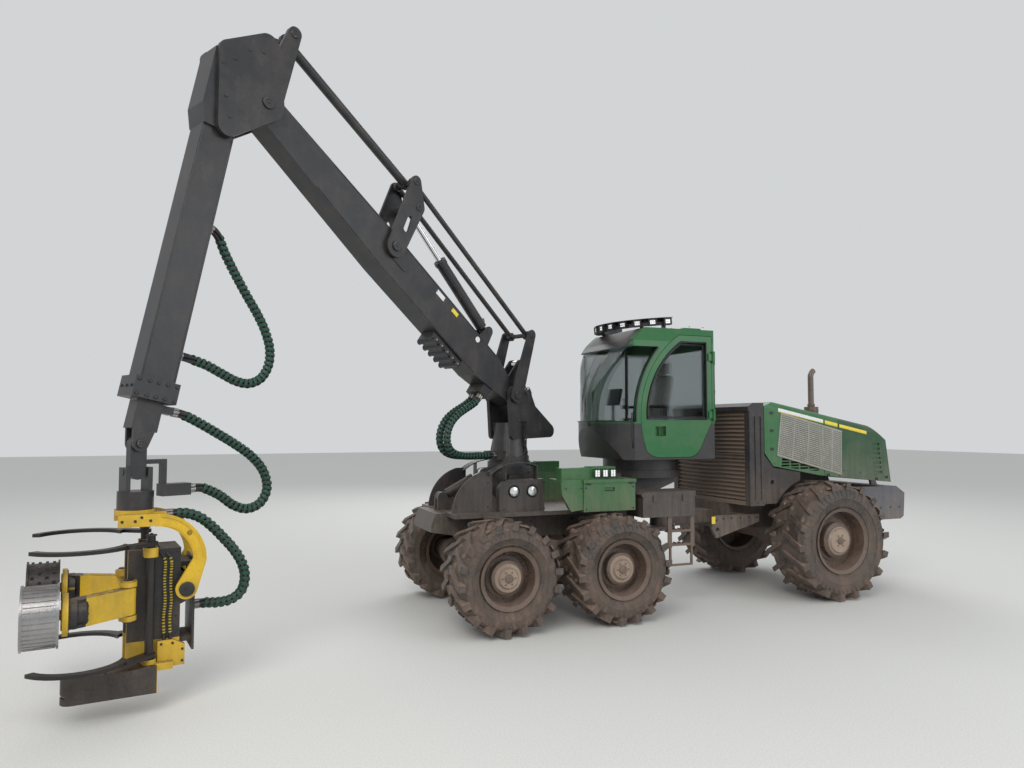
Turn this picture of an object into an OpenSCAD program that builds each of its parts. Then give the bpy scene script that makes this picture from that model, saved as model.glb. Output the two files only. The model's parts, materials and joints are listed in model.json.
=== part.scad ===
// Six-wheel forestry harvester with a parallel crane and a harvester head.
// X points forward, Y to the machine's left, Z up from the ground.

/* [Place] */
// Distance of the bogie's centre ahead of the origin
bogie_x = 235; // [200:5:270]
// Sideways place of the machine's centre line
centre_y = -768; // [-800:2:-740]

/* [Wheels] */
// Outer diameter of the bogie tyres
front_tyre_d = 1330; // [1250:10:1350]
// Diameter of the bogie wheels' rim flange
front_rim_d = 720; // [640:10:740]
// Outer diameter of the rear tyres
rear_tyre_d = 1640; // [1540:10:1660]
// Diameter of the rear wheels' rim flange
rear_rim_d = 900; // [820:10:920]
// Width of every tyre
tyre_w = 700; // [600:10:710]
// Height of the tread lugs
lug_h = 45; // [30:5:60]
// Number of lug pairs around a tyre
lug_pairs = 18; // [14:1:20]
// Distance between the two bogie axles
bogie_span = 1500; // [1480:10:1560]
// Distance from the bogie's centre to the rear axle
wheelbase = 4220; // [4150:10:4300]
// Distance between the left and right wheels' middle planes
track_w = 2250; // [2200:10:2300]

/* [Frames] */
// Width of the front and rear frames
frame_w = 800; // [700:10:860]
// Height of the frames' underside
frame_z = 860; // [820:10:900]
// Height of the frames' deck
deck_z = 1330; // [1280:10:1380]
// Front end of the front frame, ahead of the bogie's centre
frame_front = 1400; // [1300:10:1500]
// Steering pivot behind the bogie's centre
pivot_back = 2200; // [2150:10:2250]
// Rear end of the machine behind the rear axle
rear_overhang = 1780; // [1680:10:1880]

/* [Cab] */
// Cab turning axis behind the bogie's centre
cab_back = 1850; // [1830:10:1870]
// Width of the cab
cab_w = 1440; // [1360:10:1460]
// Height of the cab's floor
cab_floor_z = 1960; // [1940:10:1990]
// Height of the cab's roof
cab_roof_z = 3760; // [3700:10:3800]
// Reach of the cab's round nose from its turning axis
cab_nose_r = 890; // [870:10:930]
// Thickness of the cab's walls
cab_wall = 60; // [40:5:70]
// Thickness of the cab's glass
glass_t = 10; // [6:1:12]

/* [Crane] */
// Slew axis ahead of the bogie's centre
slew_ahead = 200; // [180:10:260]
// Slew of the crane to the left, as it stands
crane_turn = 25; // [20:1:30]
// Boom's base pin ahead of the slew axis
pivot_r = 100; // [80:5:120]
// Height of the boom's base pin
pivot_z = 2830; // [2800:10:2860]
// Length of the boom between its pins
boom_l = 4610; // [4550:10:4700]
// Boom's angle above level, as it stands
boom_rise = 37.7; // [36:0.1:39]
// Jib's angle below level, as it stands
jib_drop = 78; // [76:0.5:80]
// Width of the boom
boom_w = 300; // [280:5:320]
// Jib length from the elbow pin to its collar
jib_l = 3150; // [3050:10:3200]
// Tip pin's distance beyond the jib's collar
tip_reach = 390; // [360:10:420]
// Length of the linkage's equal cranks
crank_l = 870; // [850:5:880]
// Angle of the cranks above the boom's line
crank_rise = 71.8; // [70:0.2:74]
// Linkage lever's distance along the boom
lever_l = 2600; // [2550:10:2650]

/* [Head] */
// Turn of the head from the crane's plane, as it stands
head_turn = -17; // [-25:1:-10]
// Feed roller diameter
roller_d = 500; // [460:10:520]
// Feed roller width
roller_w = 260; // [220:10:280]

/* [Hidden] */
$fn = 48;

// Running and assembly clearances
pin_gap = 0.3;
move_gap = 6;

front_r = front_tyre_d / 2;
rear_r = rear_tyre_d / 2;
hub_y = track_w / 2;
hub_bore_r = 150;
hub_depth = 190;
wheel_inner_y = hub_y - tyre_w / 2;
beam_top_z = frame_z + 440;
axle_r = 165;
front_low_z = frame_z + 120;
tail_back = wheelbase + rear_overhang;
elbow_r = pivot_r + boom_l * cos(boom_rise);
elbow_z = pivot_z + boom_l * sin(boom_rise);
beam_e = 380;
tip_l = jib_l + tip_reach;
tip_r = elbow_r + tip_l * cos(jib_drop) + beam_e * sin(jib_drop);
tip_z = elbow_z - tip_l * sin(jib_drop) + beam_e * cos(jib_drop);

// Places in the crane's plane: radius and height, or along and above the boom's line
tilt_z = 1650;
tilt_a = [1150, 1500];
tilt_b = [slew_ahead + 380, 1800];
lift_a = [-600, 2350];
lift_b = [pivot_r - 240, pivot_z + 420];
lift_out = lift_b - [pivot_r, pivot_z];
lift_eye = [lift_out[0] * cos(boom_rise) + lift_out[1] * sin(boom_rise),
    lift_out[1] * cos(boom_rise) - lift_out[0] * sin(boom_rise)];
lever_up = 80;
crank_at = crank_l * [cos(crank_rise), sin(crank_rise)];
jib_cyl_a = [800, 420];
jib_cyl_eye = [55, 610];
jib_cyl_b = [lever_l, lever_up] + jib_cyl_eye;
eye_w = 80;
link_h = 250;
hang_l = 580;
head_h = 1686;
head_foot = tip_z - hang_l - head_h;
tilt_pin = [-400, 1000];
knife_pivot = [-110, 300];
knife_shaft_r = 35;
knife_open = 25;
arm_pivot = [60, 320];
arm_shaft_r = 45;
roller_y = 600;
roller_z = 950;
saw_pivot = [-50, 330];
saw_z = 240;
saw_t = 14;
saw_shaft_r = 22;
jib_w = 260;
beam_w = 180;
beam_h = 230;

// Hose routes: radius and height in the crane's plane, along and out from the jib's line, or out and up at the head
hose_r = 50;
base_route = [[618.5, 2813.2], [655.3, 2765.6], [710, 2718], [800, 2668], [910, 2615], [1020, 2550], [1110, 2470],
    [1170, 2370], [1190, 2260], [1160, 2155], [1080, 2085], [960, 2050], [820, 2037], [660, 2035], [480, 2035],
    [350.3, 2035]];
upper_route = [[1400, 221.7], [1400, 160], [1450, 85], [1560, 5], [1680, -100], [1800, -215], [1920, -335],
    [2050, -470], [2190, -590], [2350, -680], [2520, -705], [2670, -655], [2755, -540], [2765, -400], [2730, -240],
    [2690, -70], [2677, 100], [2677, 221.7]];
reach_route = [[4559.2, 2550.1], [4500.5, 2537.6], [4410, 2510], [4280, 2445], [4110, 2350], [3930, 2245],
    [3750, 2120], [3620, 1970], [3575, 1800], [3640, 1660], [3780, 1605], [3930, 1650], [4080, 1760], [4250, 1838],
    [4384.5, 1840]];
head_route = [[-250.3, 1630], [-330, 1630], [-440, 1622], [-550, 1575], [-650, 1490], [-745, 1385], [-845, 1265],
    [-920, 1135], [-950, 1000], [-920, 875], [-830, 805], [-710, 790], [-600, 800], [-480.3, 800]];

// Places on the cab
roof_z = cab_roof_z - 180;
window_z = cab_floor_z + 510;
window_h = roof_z - window_z - 80;
waist_z = window_z + 10;
door_low = cab_floor_z + 30;
door_rear = -730;
door_pin = [door_rear - 18, cab_w / 2 + 24];
hinge_zs = [waist_z + 10, roof_z - 280];
front_arc = [-900, 2550];
front_arc_r = 1320;
bar_tilt = 4;
bar_r = 630;

// Places on the frames
lamp_x = [130, 380];
lamp_r = 80;
shield_x = 640;
fender_top = deck_z + 410;
cooler_x = 1170 - wheelbase;
cooler_t = 250;
cooler_w = 1860;
cooler_top = beam_top_z + 1440;
hood_w = cooler_w;
hood_t = 60;
hood_front = cooler_x - cooler_t - 10;
hood_rear = 300 - tail_back;
hood_top = cooler_top + 20;
hood_fall = 340;
hood_low = 1500;
hood_pin = [255 - tail_back, 1600];
tail_top = 1500;
tail_w = 1800;
shelf_y = wheel_inner_y - 35;
box_y = shelf_y - 120;
box_z = 1230;

DARK = [0.09, 0.09, 0.10];
GREEN = [0.10, 0.38, 0.12];
YELLOW = [0.85, 0.68, 0.08];
STEEL = [0.55, 0.55, 0.56];
DUST = [0.42, 0.36, 0.31];
RUBBER = [0.16, 0.14, 0.13];
GLASS = [0.35, 0.42, 0.45, 0.4];

// Frames of reference
module machine() translate([bogie_x, centre_y, 0]) children();
module crane() machine() translate([slew_ahead, 0, 0]) rotate([0, 0, crane_turn]) children();
module boom_frame() crane() translate([pivot_r, 0, pivot_z]) rotate([0, -boom_rise, 0]) children();
module jib_frame() crane() translate([elbow_r, 0, elbow_z]) rotate([0, jib_drop, 0]) children();
module head_place() crane() translate([tip_r, 0, head_foot]) rotate([0, 0, head_turn]) children();
module cab_place() machine() translate([-cab_back, 0, 0]) children();

// An upright plate: its outline is drawn in X and Z, and it is centred on y
module upright(y, t) translate([0, y + t / 2, 0]) rotate([90, 0, 0]) linear_extrude(t) children();

// A round bar along Y, centred on y
module cross_bar(r, w, y = 0) translate([0, y, 0]) rotate([90, 0, 0]) cylinder(r = r, h = w, center = true);

// A strap with round ends between two points of an outline
module strap(a, ra, b, rb) hull() {
    translate(a) circle(r = ra, $fn = 32);
    translate(b) circle(r = rb, $fn = 32);
}

module corner_box(size, at) translate(at) cube(size);

// Wheels
module tyre(r, rim_r) {
    tread_r = r - lug_h;
    half = tyre_w / 2;
    wall_r = rim_r + (tread_r - rim_r) * 0.45;
    rotate([90, 0, 0]) {
        rotate_extrude($fn = 64) polygon([
            [rim_r - 20, -half + 90], [rim_r + 30, -half + 60], [wall_r, -half + 12],
            [tread_r - 60, -half + 22], [tread_r - 8, -half + 90], [tread_r, 0],
            [tread_r - 8, half - 90], [tread_r - 60, half - 22], [wall_r, half - 12],
            [rim_r + 30, half - 60], [rim_r - 20, half - 90]]);
        for (i = [0 : lug_pairs - 1]) for (side = [-1, 1])
            rotate([0, 0, (i + (side + 1) / 4) * 360 / lug_pairs]) lug(r, side);
    }
}

// One slanted tread lug, from near the middle line out to the shoulder
module lug(r, side) {
    lug_w = 62;
    inner = 12;
    outer = tyre_w / 2 - 4;
    slant = 95;
    reach = slant + lug_w;
    top = sqrt(r * r - reach * reach);
    translate([top - lug_h - 50, 0, 0]) rotate([0, 90, 0]) linear_extrude(lug_h + 50)
        polygon([[-side * inner, slant], [-side * inner, reach],
            [-side * outer, lug_w * 1.2 - slant], [-side * outer, -slant]]);
}

module rim(r) {
    half = tyre_w / 2;
    seat = r - 20;
    cup_r = max(r * 0.55, hub_bore_r + 30);
    rotate([-90, 0, 0]) rotate_extrude($fn = 64) polygon([
        [seat, -half + 90], [r + 4, -half + 66], [r + 4, -half + 50], [seat - 24, -half + 72], [seat - 30, 40],
        [hub_bore_r, 60], [hub_bore_r, hub_depth], [0, hub_depth], [0, hub_depth + 60], [cup_r - 90, hub_depth + 60],
        [cup_r - 70, hub_depth + 35], [cup_r - 40, hub_depth + 35], [cup_r, hub_depth + 10], [cup_r, 118],
        [cup_r + 45, 118], [cup_r + 45, 100], [seat - 40, 90], [seat - 24, half - 72], [r + 4, half - 50],
        [r + 4, half - 66], [seat, half - 90]]);
}

module wheel_at(x, z, side) machine() translate([x, side * hub_y, z]) scale([1, side, 1]) children();

// Bogies, with the axle between them
module bogies() color(DUST) machine() {
    beam_z = front_r + 120;
    hub_l = tyre_w / 2 + hub_depth;
    for (side = [-1, 1]) scale([1, side, 1]) {
        upright(wheel_inner_y - 130, 200) hull() {
            translate([-bogie_span / 2, front_r]) circle(r = 190, $fn = 32);
            translate([bogie_span / 2, front_r]) circle(r = 190, $fn = 32);
            translate([0, beam_z]) circle(r = front_low_z - beam_z, $fn = 32);
        }
        for (x = [-1, 1]) translate([x * bogie_span / 2, 0, front_r]) {
            cross_bar(170, 40, wheel_inner_y - 12);
            cross_bar(hub_bore_r - pin_gap, hub_l, wheel_inner_y + hub_l / 2 - 10);
        }
    }
    // Axle and the saddle that carries the frame
    translate([0, 0, beam_z]) {
        cross_bar(150, 2 * wheel_inner_y - 300);
        sphere(r = front_low_z - beam_z);
    }
    upright(0, 500) polygon([[-320, front_low_z], [320, front_low_z], [200, beam_z - 60], [-200, beam_z - 60]]);
}

// Front frame
module front_frame() color(DARK) machine() {
    half = frame_w / 2;
    rear = -pivot_back;
    shelf_z = deck_z + 10;
    upright(0, frame_w) polygon([[frame_front, deck_z - 160], [frame_front - 60, deck_z], [-1500, deck_z],
        [-1500, front_low_z], [700, front_low_z], [frame_front, frame_z + 240]]);
    // Fork of the steering pivot
    for (z = [frame_z + 60, deck_z - 110]) hull() {
        translate([rear, 0, z]) cylinder(r = 190, h = 60);
        translate([-1510, -half + 60, z]) cube([20, frame_w - 120, 60]);
    }
    translate([rear, 0, frame_z + 60]) cylinder(r = 70, h = deck_z - frame_z - 110);
    // Cab pedestal reaching back over the pivot
    upright(0, 560) polygon([[-1000, deck_z], [-1000, deck_z + 200], [-1250, 1760], [-2300, 1760], [-2300, 1640],
        [-1480, deck_z]]);
    translate([-cab_back, 0, 1700]) cylinder(r = 560, h = 100);
    // Crane seat: two ears that hold the tilt pin
    for (side = [-1, 1]) upright(side * 330, 50) difference() {
        polygon([[slew_ahead - 330, deck_z], [slew_ahead - 130, tilt_z + 130], [slew_ahead + 130, tilt_z + 130],
            [slew_ahead + 330, deck_z]]);
        translate([slew_ahead, tilt_z]) circle(r = 60 + pin_gap);
    }
    // Lugs and pin of the tilt cylinder
    for (side = [-1, 1]) upright(side * 65, 30) strap([tilt_a[0] - 30, deck_z], 100, tilt_a, 65);
    translate([tilt_a[0], 0, tilt_a[1]]) cross_bar(35, 160);
    // Running plates over the wheels' inner sides, and the rear cross beam that carries the boxes by the cab
    corner_box([2400, 2 * shelf_y, 50], [-1200, -shelf_y, shelf_z - 50]);
    corner_box([100, 2 * box_y, 60], [-1450, -box_y, deck_z - 60]);
    for (side = [-1, 1]) scale([1, side, 1]) {
        // Lamp housing with its round top corner and two sunk lamps
        difference() {
            upright(half + 160, 120) hull() {
                translate([-40, shelf_z - 20]) square([620, 10]);
                translate([-40, fender_top - 10]) square([300, 10]);
                translate([420, fender_top - 160]) circle(r = 160, $fn = 64);
            }
            for (x = lamp_x) translate([x, half + 195, shelf_z + 250]) cross_bar(lamp_r, 60);
        }
        for (x = lamp_x) translate([x, half + 188, shelf_z + 250]) cross_bar(lamp_r - 18, 56);
        // Curved shield ahead of the housing
        upright(half + 120, 24) intersection() {
            translate([shield_x, shelf_z - 20]) square([540, 520]);
            translate([shield_x - 10, shelf_z - 20]) circle(r = 540, $fn = 96);
        }
        upright(half + 100, 40) polygon([[shield_x - 70, shelf_z - 20], [shield_x - 70, shelf_z + 160],
            [shield_x + 60, shelf_z + 260], [shield_x + 60, shelf_z - 20]]);
        // Arched guard beside the crane's foot, standing on the housing
        upright(half + 120, 200) intersection() {
            difference() {
                translate([300, 1350]) circle(r = 610, $fn = 128);
                translate([300, 1350]) circle(r = 598, $fn = 128);
            }
            translate([50, 1700]) square([650, 300]);
        }
        for (x = [50, 480]) corner_box([14, 110, 190], [x, half + 105, fender_top - 10]);
    }
}

// Tool boxes over the middle wheels, each with its lid, and the low beam with a cluster of lamps on it
module side_boxes() color(GREEN) machine() for (side = [-1, 1]) scale([1, side, 1]) {
    box_x = -1140;
    box_l = 740;
    low_y = shelf_y - 130;
    difference() {
        corner_box([box_l, 420, fender_top - deck_z - 40], [box_x, low_y, deck_z + 10]);
        // Recessed handle
        corner_box([150, 30, 50], [box_x + 300, low_y + 400, fender_top - 150]);
    }
    corner_box([box_l + 20, 432, 42], [box_x - 10, low_y, fender_top - 42]);
    // Panel ahead of the box, cut to a point at its foot
    upright(low_y + 370, 60) polygon([[box_x + box_l - 10, deck_z + 40], [box_x + box_l - 10, fender_top - 20],
        [-90, fender_top - 20], [-110, deck_z + 220], [-230, deck_z + 20]]);
    corner_box([310, 400, 30], [box_x + box_l - 10, low_y, fender_top - 30]);
    // Low beam and lamp cluster
    corner_box([420, 160, 150], [-560, low_y + 150, fender_top - 5]);
    difference() {
        corner_box([350, 190, 160], [-905, low_y + 130, fender_top - 5]);
        for (i = [0 : 2]) corner_box([95, 40, 110], [-893 + i * 113, low_y + 290, fender_top + 20]);
    }
    for (i = [0 : 2]) corner_box([75, 30, 90], [-883 + i * 113, low_y + 285, fender_top + 30]);
}

// Boxes beside the cab, each under a lid with a chamfered front edge
module battery_boxes() color(DARK) machine() for (side = [-1, 1]) scale([1, side, 1]) {
    corner_box([800, 420, 270], [-2050, box_y, box_z]);
    upright(box_y + 212, 424) polygon([[-2060, box_z + 265], [-2060, box_z + 330], [-1270, box_z + 330],
        [-1220, box_z + 300], [-1240, box_z + 265]]);
    for (x = [-1900, -1450]) corner_box([50, 24, 90], [x, box_y + 410, box_z + 200]);
}

// Ladder: two stiles, a rung, and a bent bar as the lowest step
module ladder() color(DUST) machine() {
    top = box_z;
    out_y = box_y + 380;
    for (x = [-2050, -1700]) corner_box([60, 16, top - 820], [x, out_y, 820]);
    for (z = [840, 1020]) corner_box([410, 90, 30], [-2050, out_y - 70, z]);
    for (z = [855, 1035]) for (x = [-1990 : 70 : -1710]) corner_box([14, 80, 30], [x, out_y - 65, z]);
    for (x = [-2020, -1690]) corner_box([26, 26, 262], [x, out_y - 8, 580]);
    corner_box([356, 26, 26], [-2020, out_y - 8, 580]);
}

// Crane
module crane_base() color(DARK) machine() {
    translate([slew_ahead, 0, tilt_z]) {
        cross_bar(60, 720);
        difference() {
            cross_bar(280, 590);
            translate([-400, -400, -500]) cube([800, 800, 330]);
        }
    }
    translate([slew_ahead, 0, 1850]) cylinder(r = 290, h = 100);
    for (side = [-1, 1]) upright(side * 65, 30) hull() {
        translate([slew_ahead + 120, tilt_z + 100]) circle(r = 130, $fn = 32);
        translate([slew_ahead + 60, tilt_z - 60]) circle(r = 60, $fn = 32);
        translate(tilt_b) circle(r = 60, $fn = 32);
    }
}

module crane_pillar() color(DARK) crane() {
    translate([0, 0, 1950.3]) cylinder(r = 270, h = 60);
    translate([0, 0, 2000]) cylinder(r1 = 250, r2 = 190, h = 460);
    for (side = [-1, 1]) upright(side * 190, 50) difference() {
        hull() {
            translate([pivot_r, pivot_z]) circle(r = 120, $fn = 32);
            translate(lift_a) circle(r = 90, $fn = 32);
            translate([120, 2300]) circle(r = 60, $fn = 32);
        }
        translate([pivot_r, pivot_z]) circle(r = 60 + pin_gap);
    }
    translate([0, 0, 2400]) cube([300, 400, 120], center = true);
    for (a = [45 : 90 : 315]) rotate([0, 0, a]) upright(0, 18)
        polygon([[170, 2050], [258, 2050], [196, 2370], [170, 2370]]);
    // Chain from a bolt on the pillar's left plate
    translate([-50, 250, 0]) {
        translate([0, 0, 2470]) cross_bar(14, 90);
        chain(6, 2446);
    }
    // Lift cylinder's pin with its spacers
    translate([lift_a[0], 0, lift_a[1]]) {
        cross_bar(35, 400);
        for (side = [-1, 1]) cross_bar(52, 130, side * (eye_w / 2 + 65 + pin_gap));
    }
    // Hose manifold on the flange
    corner_box([150, 260, 110], [200, -130, 1980]);
}

// Links that hang in turn lengthways and crosswise, the last one a wider shackle
module chain(links, top) {
    pitch = 70;
    for (i = [0 : links - 1]) translate([0, 0, top - i * pitch]) rotate([0, 0, i * 90])
        upright(0, 12) polygon([[-24, -34], [-12, -46], [12, -46], [24, -34], [24, 34], [12, 46], [-12, 46],
            [-24, 34], [-12, -26], [-9, -34], [9, -34], [12, -26], [12, 26], [9, 34], [-9, 34], [-12, 26]],
            [[0, 1, 2, 3, 4, 5, 6, 7], [8, 9, 10, 11, 12, 13, 14, 15]]);
    translate([0, 0, top - (links - 1) * pitch - 60]) rotate([0, 0, links * 90]) upright(0, 16) difference() {
        circle(r = 42, $fn = 32);
        circle(r = 24, $fn = 32);
    }
}

module boom() color(DARK) boom_frame() {
    end = boom_l - 110;
    upright(0, boom_w) polygon([[-85, -110], [-85, 90], [500, 220], [lever_l, 220], [end, 170], [end, -150],
        [lever_l, -240], [700, -240]]);
    cross_bar(60, 520);
    // Doubler plates round the lever's pin
    for (side = [-1, 1]) upright(side * (boom_w / 2 + 2), 12)
        strap([lever_l - 260, 20], 60, [lever_l, lever_up], 120);
    translate([boom_l, 0, 0]) {
        cross_bar(190, boom_w + 6);
        cross_bar(60, 440);
    }
    translate([lever_l, 0, lever_up]) cross_bar(60, 440);
    // Lugs of the lift and jib cylinders
    for (side = [-1, 1]) upright(side * 75, 30) strap([60, 60], 100, lift_eye, 70);
    for (side = [-1, 1]) upright(side * 78, 30) strap([800, 200], 100, jib_cyl_a, 65);
    translate([jib_cyl_a[0], 0, jib_cyl_a[1]]) cross_bar(35, 190);
    // Hose manifold under the base and the valve block further up
    corner_box([160, 260, 190], [320, -130, -330]);
    corner_box([560, 240, 150], [950, -120, -345]);
    for (i = [0 : 4]) translate([1010 + i * 110, 0, -330]) cross_bar(34, 300);
}

module link_lever() color(DARK) boom_frame() translate([lever_l, 0, lever_up]) {
    for (side = [-1, 1]) upright(side * 195, 30) difference() {
        hull() {
            circle(r = 130, $fn = 32);
            translate(crank_at) circle(r = 70, $fn = 32);
            translate(jib_cyl_eye) circle(r = 85, $fn = 32);
        }
        circle(r = 60 + pin_gap);
        strap([30, 260], 36, [70, 400], 30);
    }
    translate([crank_at[0], 0, crank_at[1]]) cross_bar(30, 410);
    // Bosses beside the jib cylinder's pin, inside the lower rods
    translate([jib_cyl_eye[0], 0, jib_cyl_eye[1]]) for (side = [-1, 1]) cross_bar(62, 84, side * 148);
}

module link_rocker() color(DARK) boom_frame() {
    for (side = [-1, 1]) upright(side * 240, 30) difference() {
        strap([0, 0], 110, crank_at, 70);
        circle(r = 60 + pin_gap);
    }
    translate([crank_at[0], 0, crank_at[1]]) cross_bar(30, 500);
}

module rod_between(a, b, r, y) translate([a[0], y, a[1]])
    rotate([0, -atan2(b[1] - a[1], b[0] - a[0]), 0]) {
    reach = norm(b - a);
    difference() {
        union() {
            rotate([0, 90, 0]) cylinder(r = r, h = reach);
            cross_bar(58, 50);
            translate([reach, 0, 0]) cross_bar(58, 50);
        }
        cross_bar(30 + pin_gap, 110);
        translate([reach, 0, 0]) cross_bar(30 + pin_gap, 110);
    }
}

module lower_rods() color(DARK) boom_frame() for (side = [-1, 1])
    rod_between(crank_at, crank_at + [lever_l, lever_up], 32, side * 145);

module upper_rod() color(DARK) boom_frame()
    rod_between(crank_at + [lever_l, lever_up], crank_at + [boom_l, 0], 52, 0);

// The crank pin, seen in the jib's frame
jib_crank = crank_l * [cos(crank_rise + boom_rise + jib_drop), sin(crank_rise + boom_rise + jib_drop)];

module jib() color(DARK) jib_frame() {
    difference() {
        union() {
            upright(0, 320) polygon([[-300, 230], [-300, 600], [300, 600], [480, 540], [480, 222], [300, 200]]);
            upright(0, jib_w) polygon([[250, beam_e - 158], [250, beam_e + 160], [jib_l, beam_e + 160],
                [jib_l, beam_e - 158]]);
            corner_box([190, jib_w + 70, 400], [jib_l - 190, -jib_w / 2 - 35, beam_e - 195]);
        }
        translate([0, 0, beam_e]) beam_inside(200, jib_l - 140, move_gap);
        translate([0, 0, beam_e]) beam_inside(jib_l - 150, jib_l + 1, pin_gap);
    }
    for (side = [-1, 1]) upright(side * 183, 56) difference() {
        union() {
            hull() {
                circle(r = 180, $fn = 32);
                translate([-300, 500]) circle(r = 90, $fn = 32);
                translate([-560, 130]) circle(r = 130, $fn = 32);
                translate([420, 330]) circle(r = 110, $fn = 32);
            }
            strap([0, 0], 150, jib_crank, 75);
        }
        circle(r = 60 + pin_gap);
    }
    translate([jib_crank[0], 0, jib_crank[1]]) cross_bar(30, 420);
}

// The room that the extension takes in the jib, with a clearance all round
module beam_inside(from, to, gap) translate([from, -beam_w / 2 - gap, -beam_h / 2 - gap])
    cube([to - from, beam_w + 2 * gap, beam_h + 2 * gap]);

module extension() color(DARK) jib_frame() {
    translate([0, 0, beam_e]) beam_inside(230, tip_l - 120, 0);
    corner_box([70, 120, beam_e - beam_h / 2 - 140], [jib_l + 15, -60, 150]);
    for (side = [-1, 1]) upright(side * 75, 30) difference() {
        strap([tip_l - 150, beam_e], 100, [tip_l, beam_e], 70);
        translate([tip_l, beam_e]) circle(r = 30 + pin_gap);
    }
}

// Cylinders
module cylinder_barrel(a, b, r, l) translate([a[0], 0, a[1]]) rotate([0, -atan2(b[1] - a[1], b[0] - a[0]), 0]) {
    difference() {
        union() {
            cross_bar(62, eye_w);
            rotate([0, 90, 0]) {
                cylinder(r = eye_w / 2 - 2, h = 100);
                translate([0, 0, 82]) cylinder(r = r, h = l - 82);
                translate([0, 0, l - 60]) cylinder(r = r + 8, h = 60);
            }
        }
        rotate([0, 90, 0]) translate([0, 0, 100]) cylinder(r = r * 0.5 + pin_gap, h = l);
        cross_bar(35 + pin_gap, 100);
    }
}

module cylinder_rod(a, b, r, reach, pin_w) translate([b[0], 0, b[1]])
    rotate([0, -atan2(b[1] - a[1], b[0] - a[0]), 0]) {
    rotate([0, -90, 0]) cylinder(r = r * 0.5, h = reach);
    cross_bar(55, eye_w);
    cross_bar(30, pin_w);
}

module lift_barrel() color(DARK) crane() cylinder_barrel(lift_a, lift_b, 75, 640);
module lift_rod() color(STEEL) crane() cylinder_rod(lift_a, lift_b, 75, 640, 119);

module jib_barrel() color(DARK) boom_frame() cylinder_barrel(jib_cyl_a, jib_cyl_b, 72, 1140);
module jib_rod() color(STEEL) boom_frame() cylinder_rod(jib_cyl_a, jib_cyl_b, 72, 1060, 210);

module tilt_barrel() color(DARK) machine() cylinder_barrel(tilt_a, tilt_b, 60, 490);
module tilt_rod() color(STEEL) machine() cylinder_rod(tilt_a, tilt_b, 60, 360, 99);

// Hoses: a ring of points round each route point, square to the way there
hose_sides = 8;
function unit(v) = v / norm(v);
function way(p, i) = unit(p[min(i + 1, len(p) - 1)] - p[max(i - 1, 0)]);
function ring(p, i, r) = [for (k = [0 : hose_sides - 1])
    let (w = way(p, i), n = unit([-w[1], w[0]]), a = (k + 0.5) * 360 / hose_sides)
    [p[i][0] + r * cos(a) * n[0], r * sin(a), p[i][1] + r * cos(a) * n[1]]];
function wall(rings) = [for (i = [0 : rings - 2]) for (k = [0 : hose_sides - 1])
    let (a = i * hose_sides + k, b = i * hose_sides + (k + 1) % hose_sides)
    each [[a, b, b + hose_sides], [a, b + hose_sides, a + hose_sides]]];

// A hose along points of radius and height in the crane's plane
module hose(p, r) {
    last = (len(p) - 1) * hose_sides;
    polyhedron([for (i = [0 : len(p) - 1]) each ring(p, i, r)],
        concat(wall(len(p)), [[for (k = [hose_sides - 1 : -1 : 0]) k]], [[for (k = [0 : hose_sides - 1]) last + k]]));
}

module base_hoses() color(DARK) crane() for (y = [-68, 68]) translate([0, y, 0]) hose(base_route, hose_r);
module upper_hose() color(DARK) jib_frame() hose(upper_route, hose_r);
module reach_hose() color(DARK) crane() hose(reach_route, hose_r);
module head_hose() color(DARK) head_place() hose(head_route, hose_r);

// Link and rotator
module tip_link() color(DARK) crane() translate([tip_r, 0, tip_z]) {
    cross_bar(30, 200);
    upright(0, 100) strap([0, 0], 70, [0, -link_h], 70);
    translate([0, 0, -link_h]) rotate([0, 90, 0]) cylinder(r = 30, h = 240, center = true);
    // Arm and manifold of the reach hose
    corner_box([240, 60, 40], [-260, -30, -185]);
    corner_box([50, 60, 320], [-260, -30, -465]);
    corner_box([260, 140, 110], [-470, -70, -480]);
}

module rotator() color(DARK) crane() translate([tip_r, 0, tip_z - link_h]) {
    for (side = [-1, 1]) difference() {
        translate([side * 95, 0, -80]) cube([40, 160, 240], center = true);
        rotate([0, 90, 0]) cylinder(r = 30 + pin_gap, h = 300, center = true);
    }
    translate([0, 0, link_h - hang_l]) cylinder(r = 150, h = 160);
}

// Harvester head: X is its opening side, Y its left
module head_frame() color(YELLOW) head_place() {
    arch = [-140, head_h - 440];
    translate([0, 0, head_h - 50]) cylinder(r = 160, h = 50 - pin_gap);
    for (side = [-1, 1]) upright(side * 290, 40) difference() {
        union() {
            translate([arch[0], head_h - 125]) square([290, 105]);
            intersection() {
                difference() {
                    translate(arch) circle(r = 420, $fn = 96);
                    translate(arch) circle(r = 310, $fn = 96);
                }
                translate(arch - [500, 10]) square([501, 500]);
            }
            strap([arch[0] - 365, arch[1]], 55, tilt_pin, 90);
        }
        translate(tilt_pin) circle(r = 45 + pin_gap);
        // Lightening hole in the arch
        translate([arch[0] - 275, arch[1] + 240]) circle(r = 24);
    }
    corner_box([200, 600, 50], [-100, -300, head_h - 80]);
    corner_box([180, 140, 110], [-250, -70, head_h - 135]);
}

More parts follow.
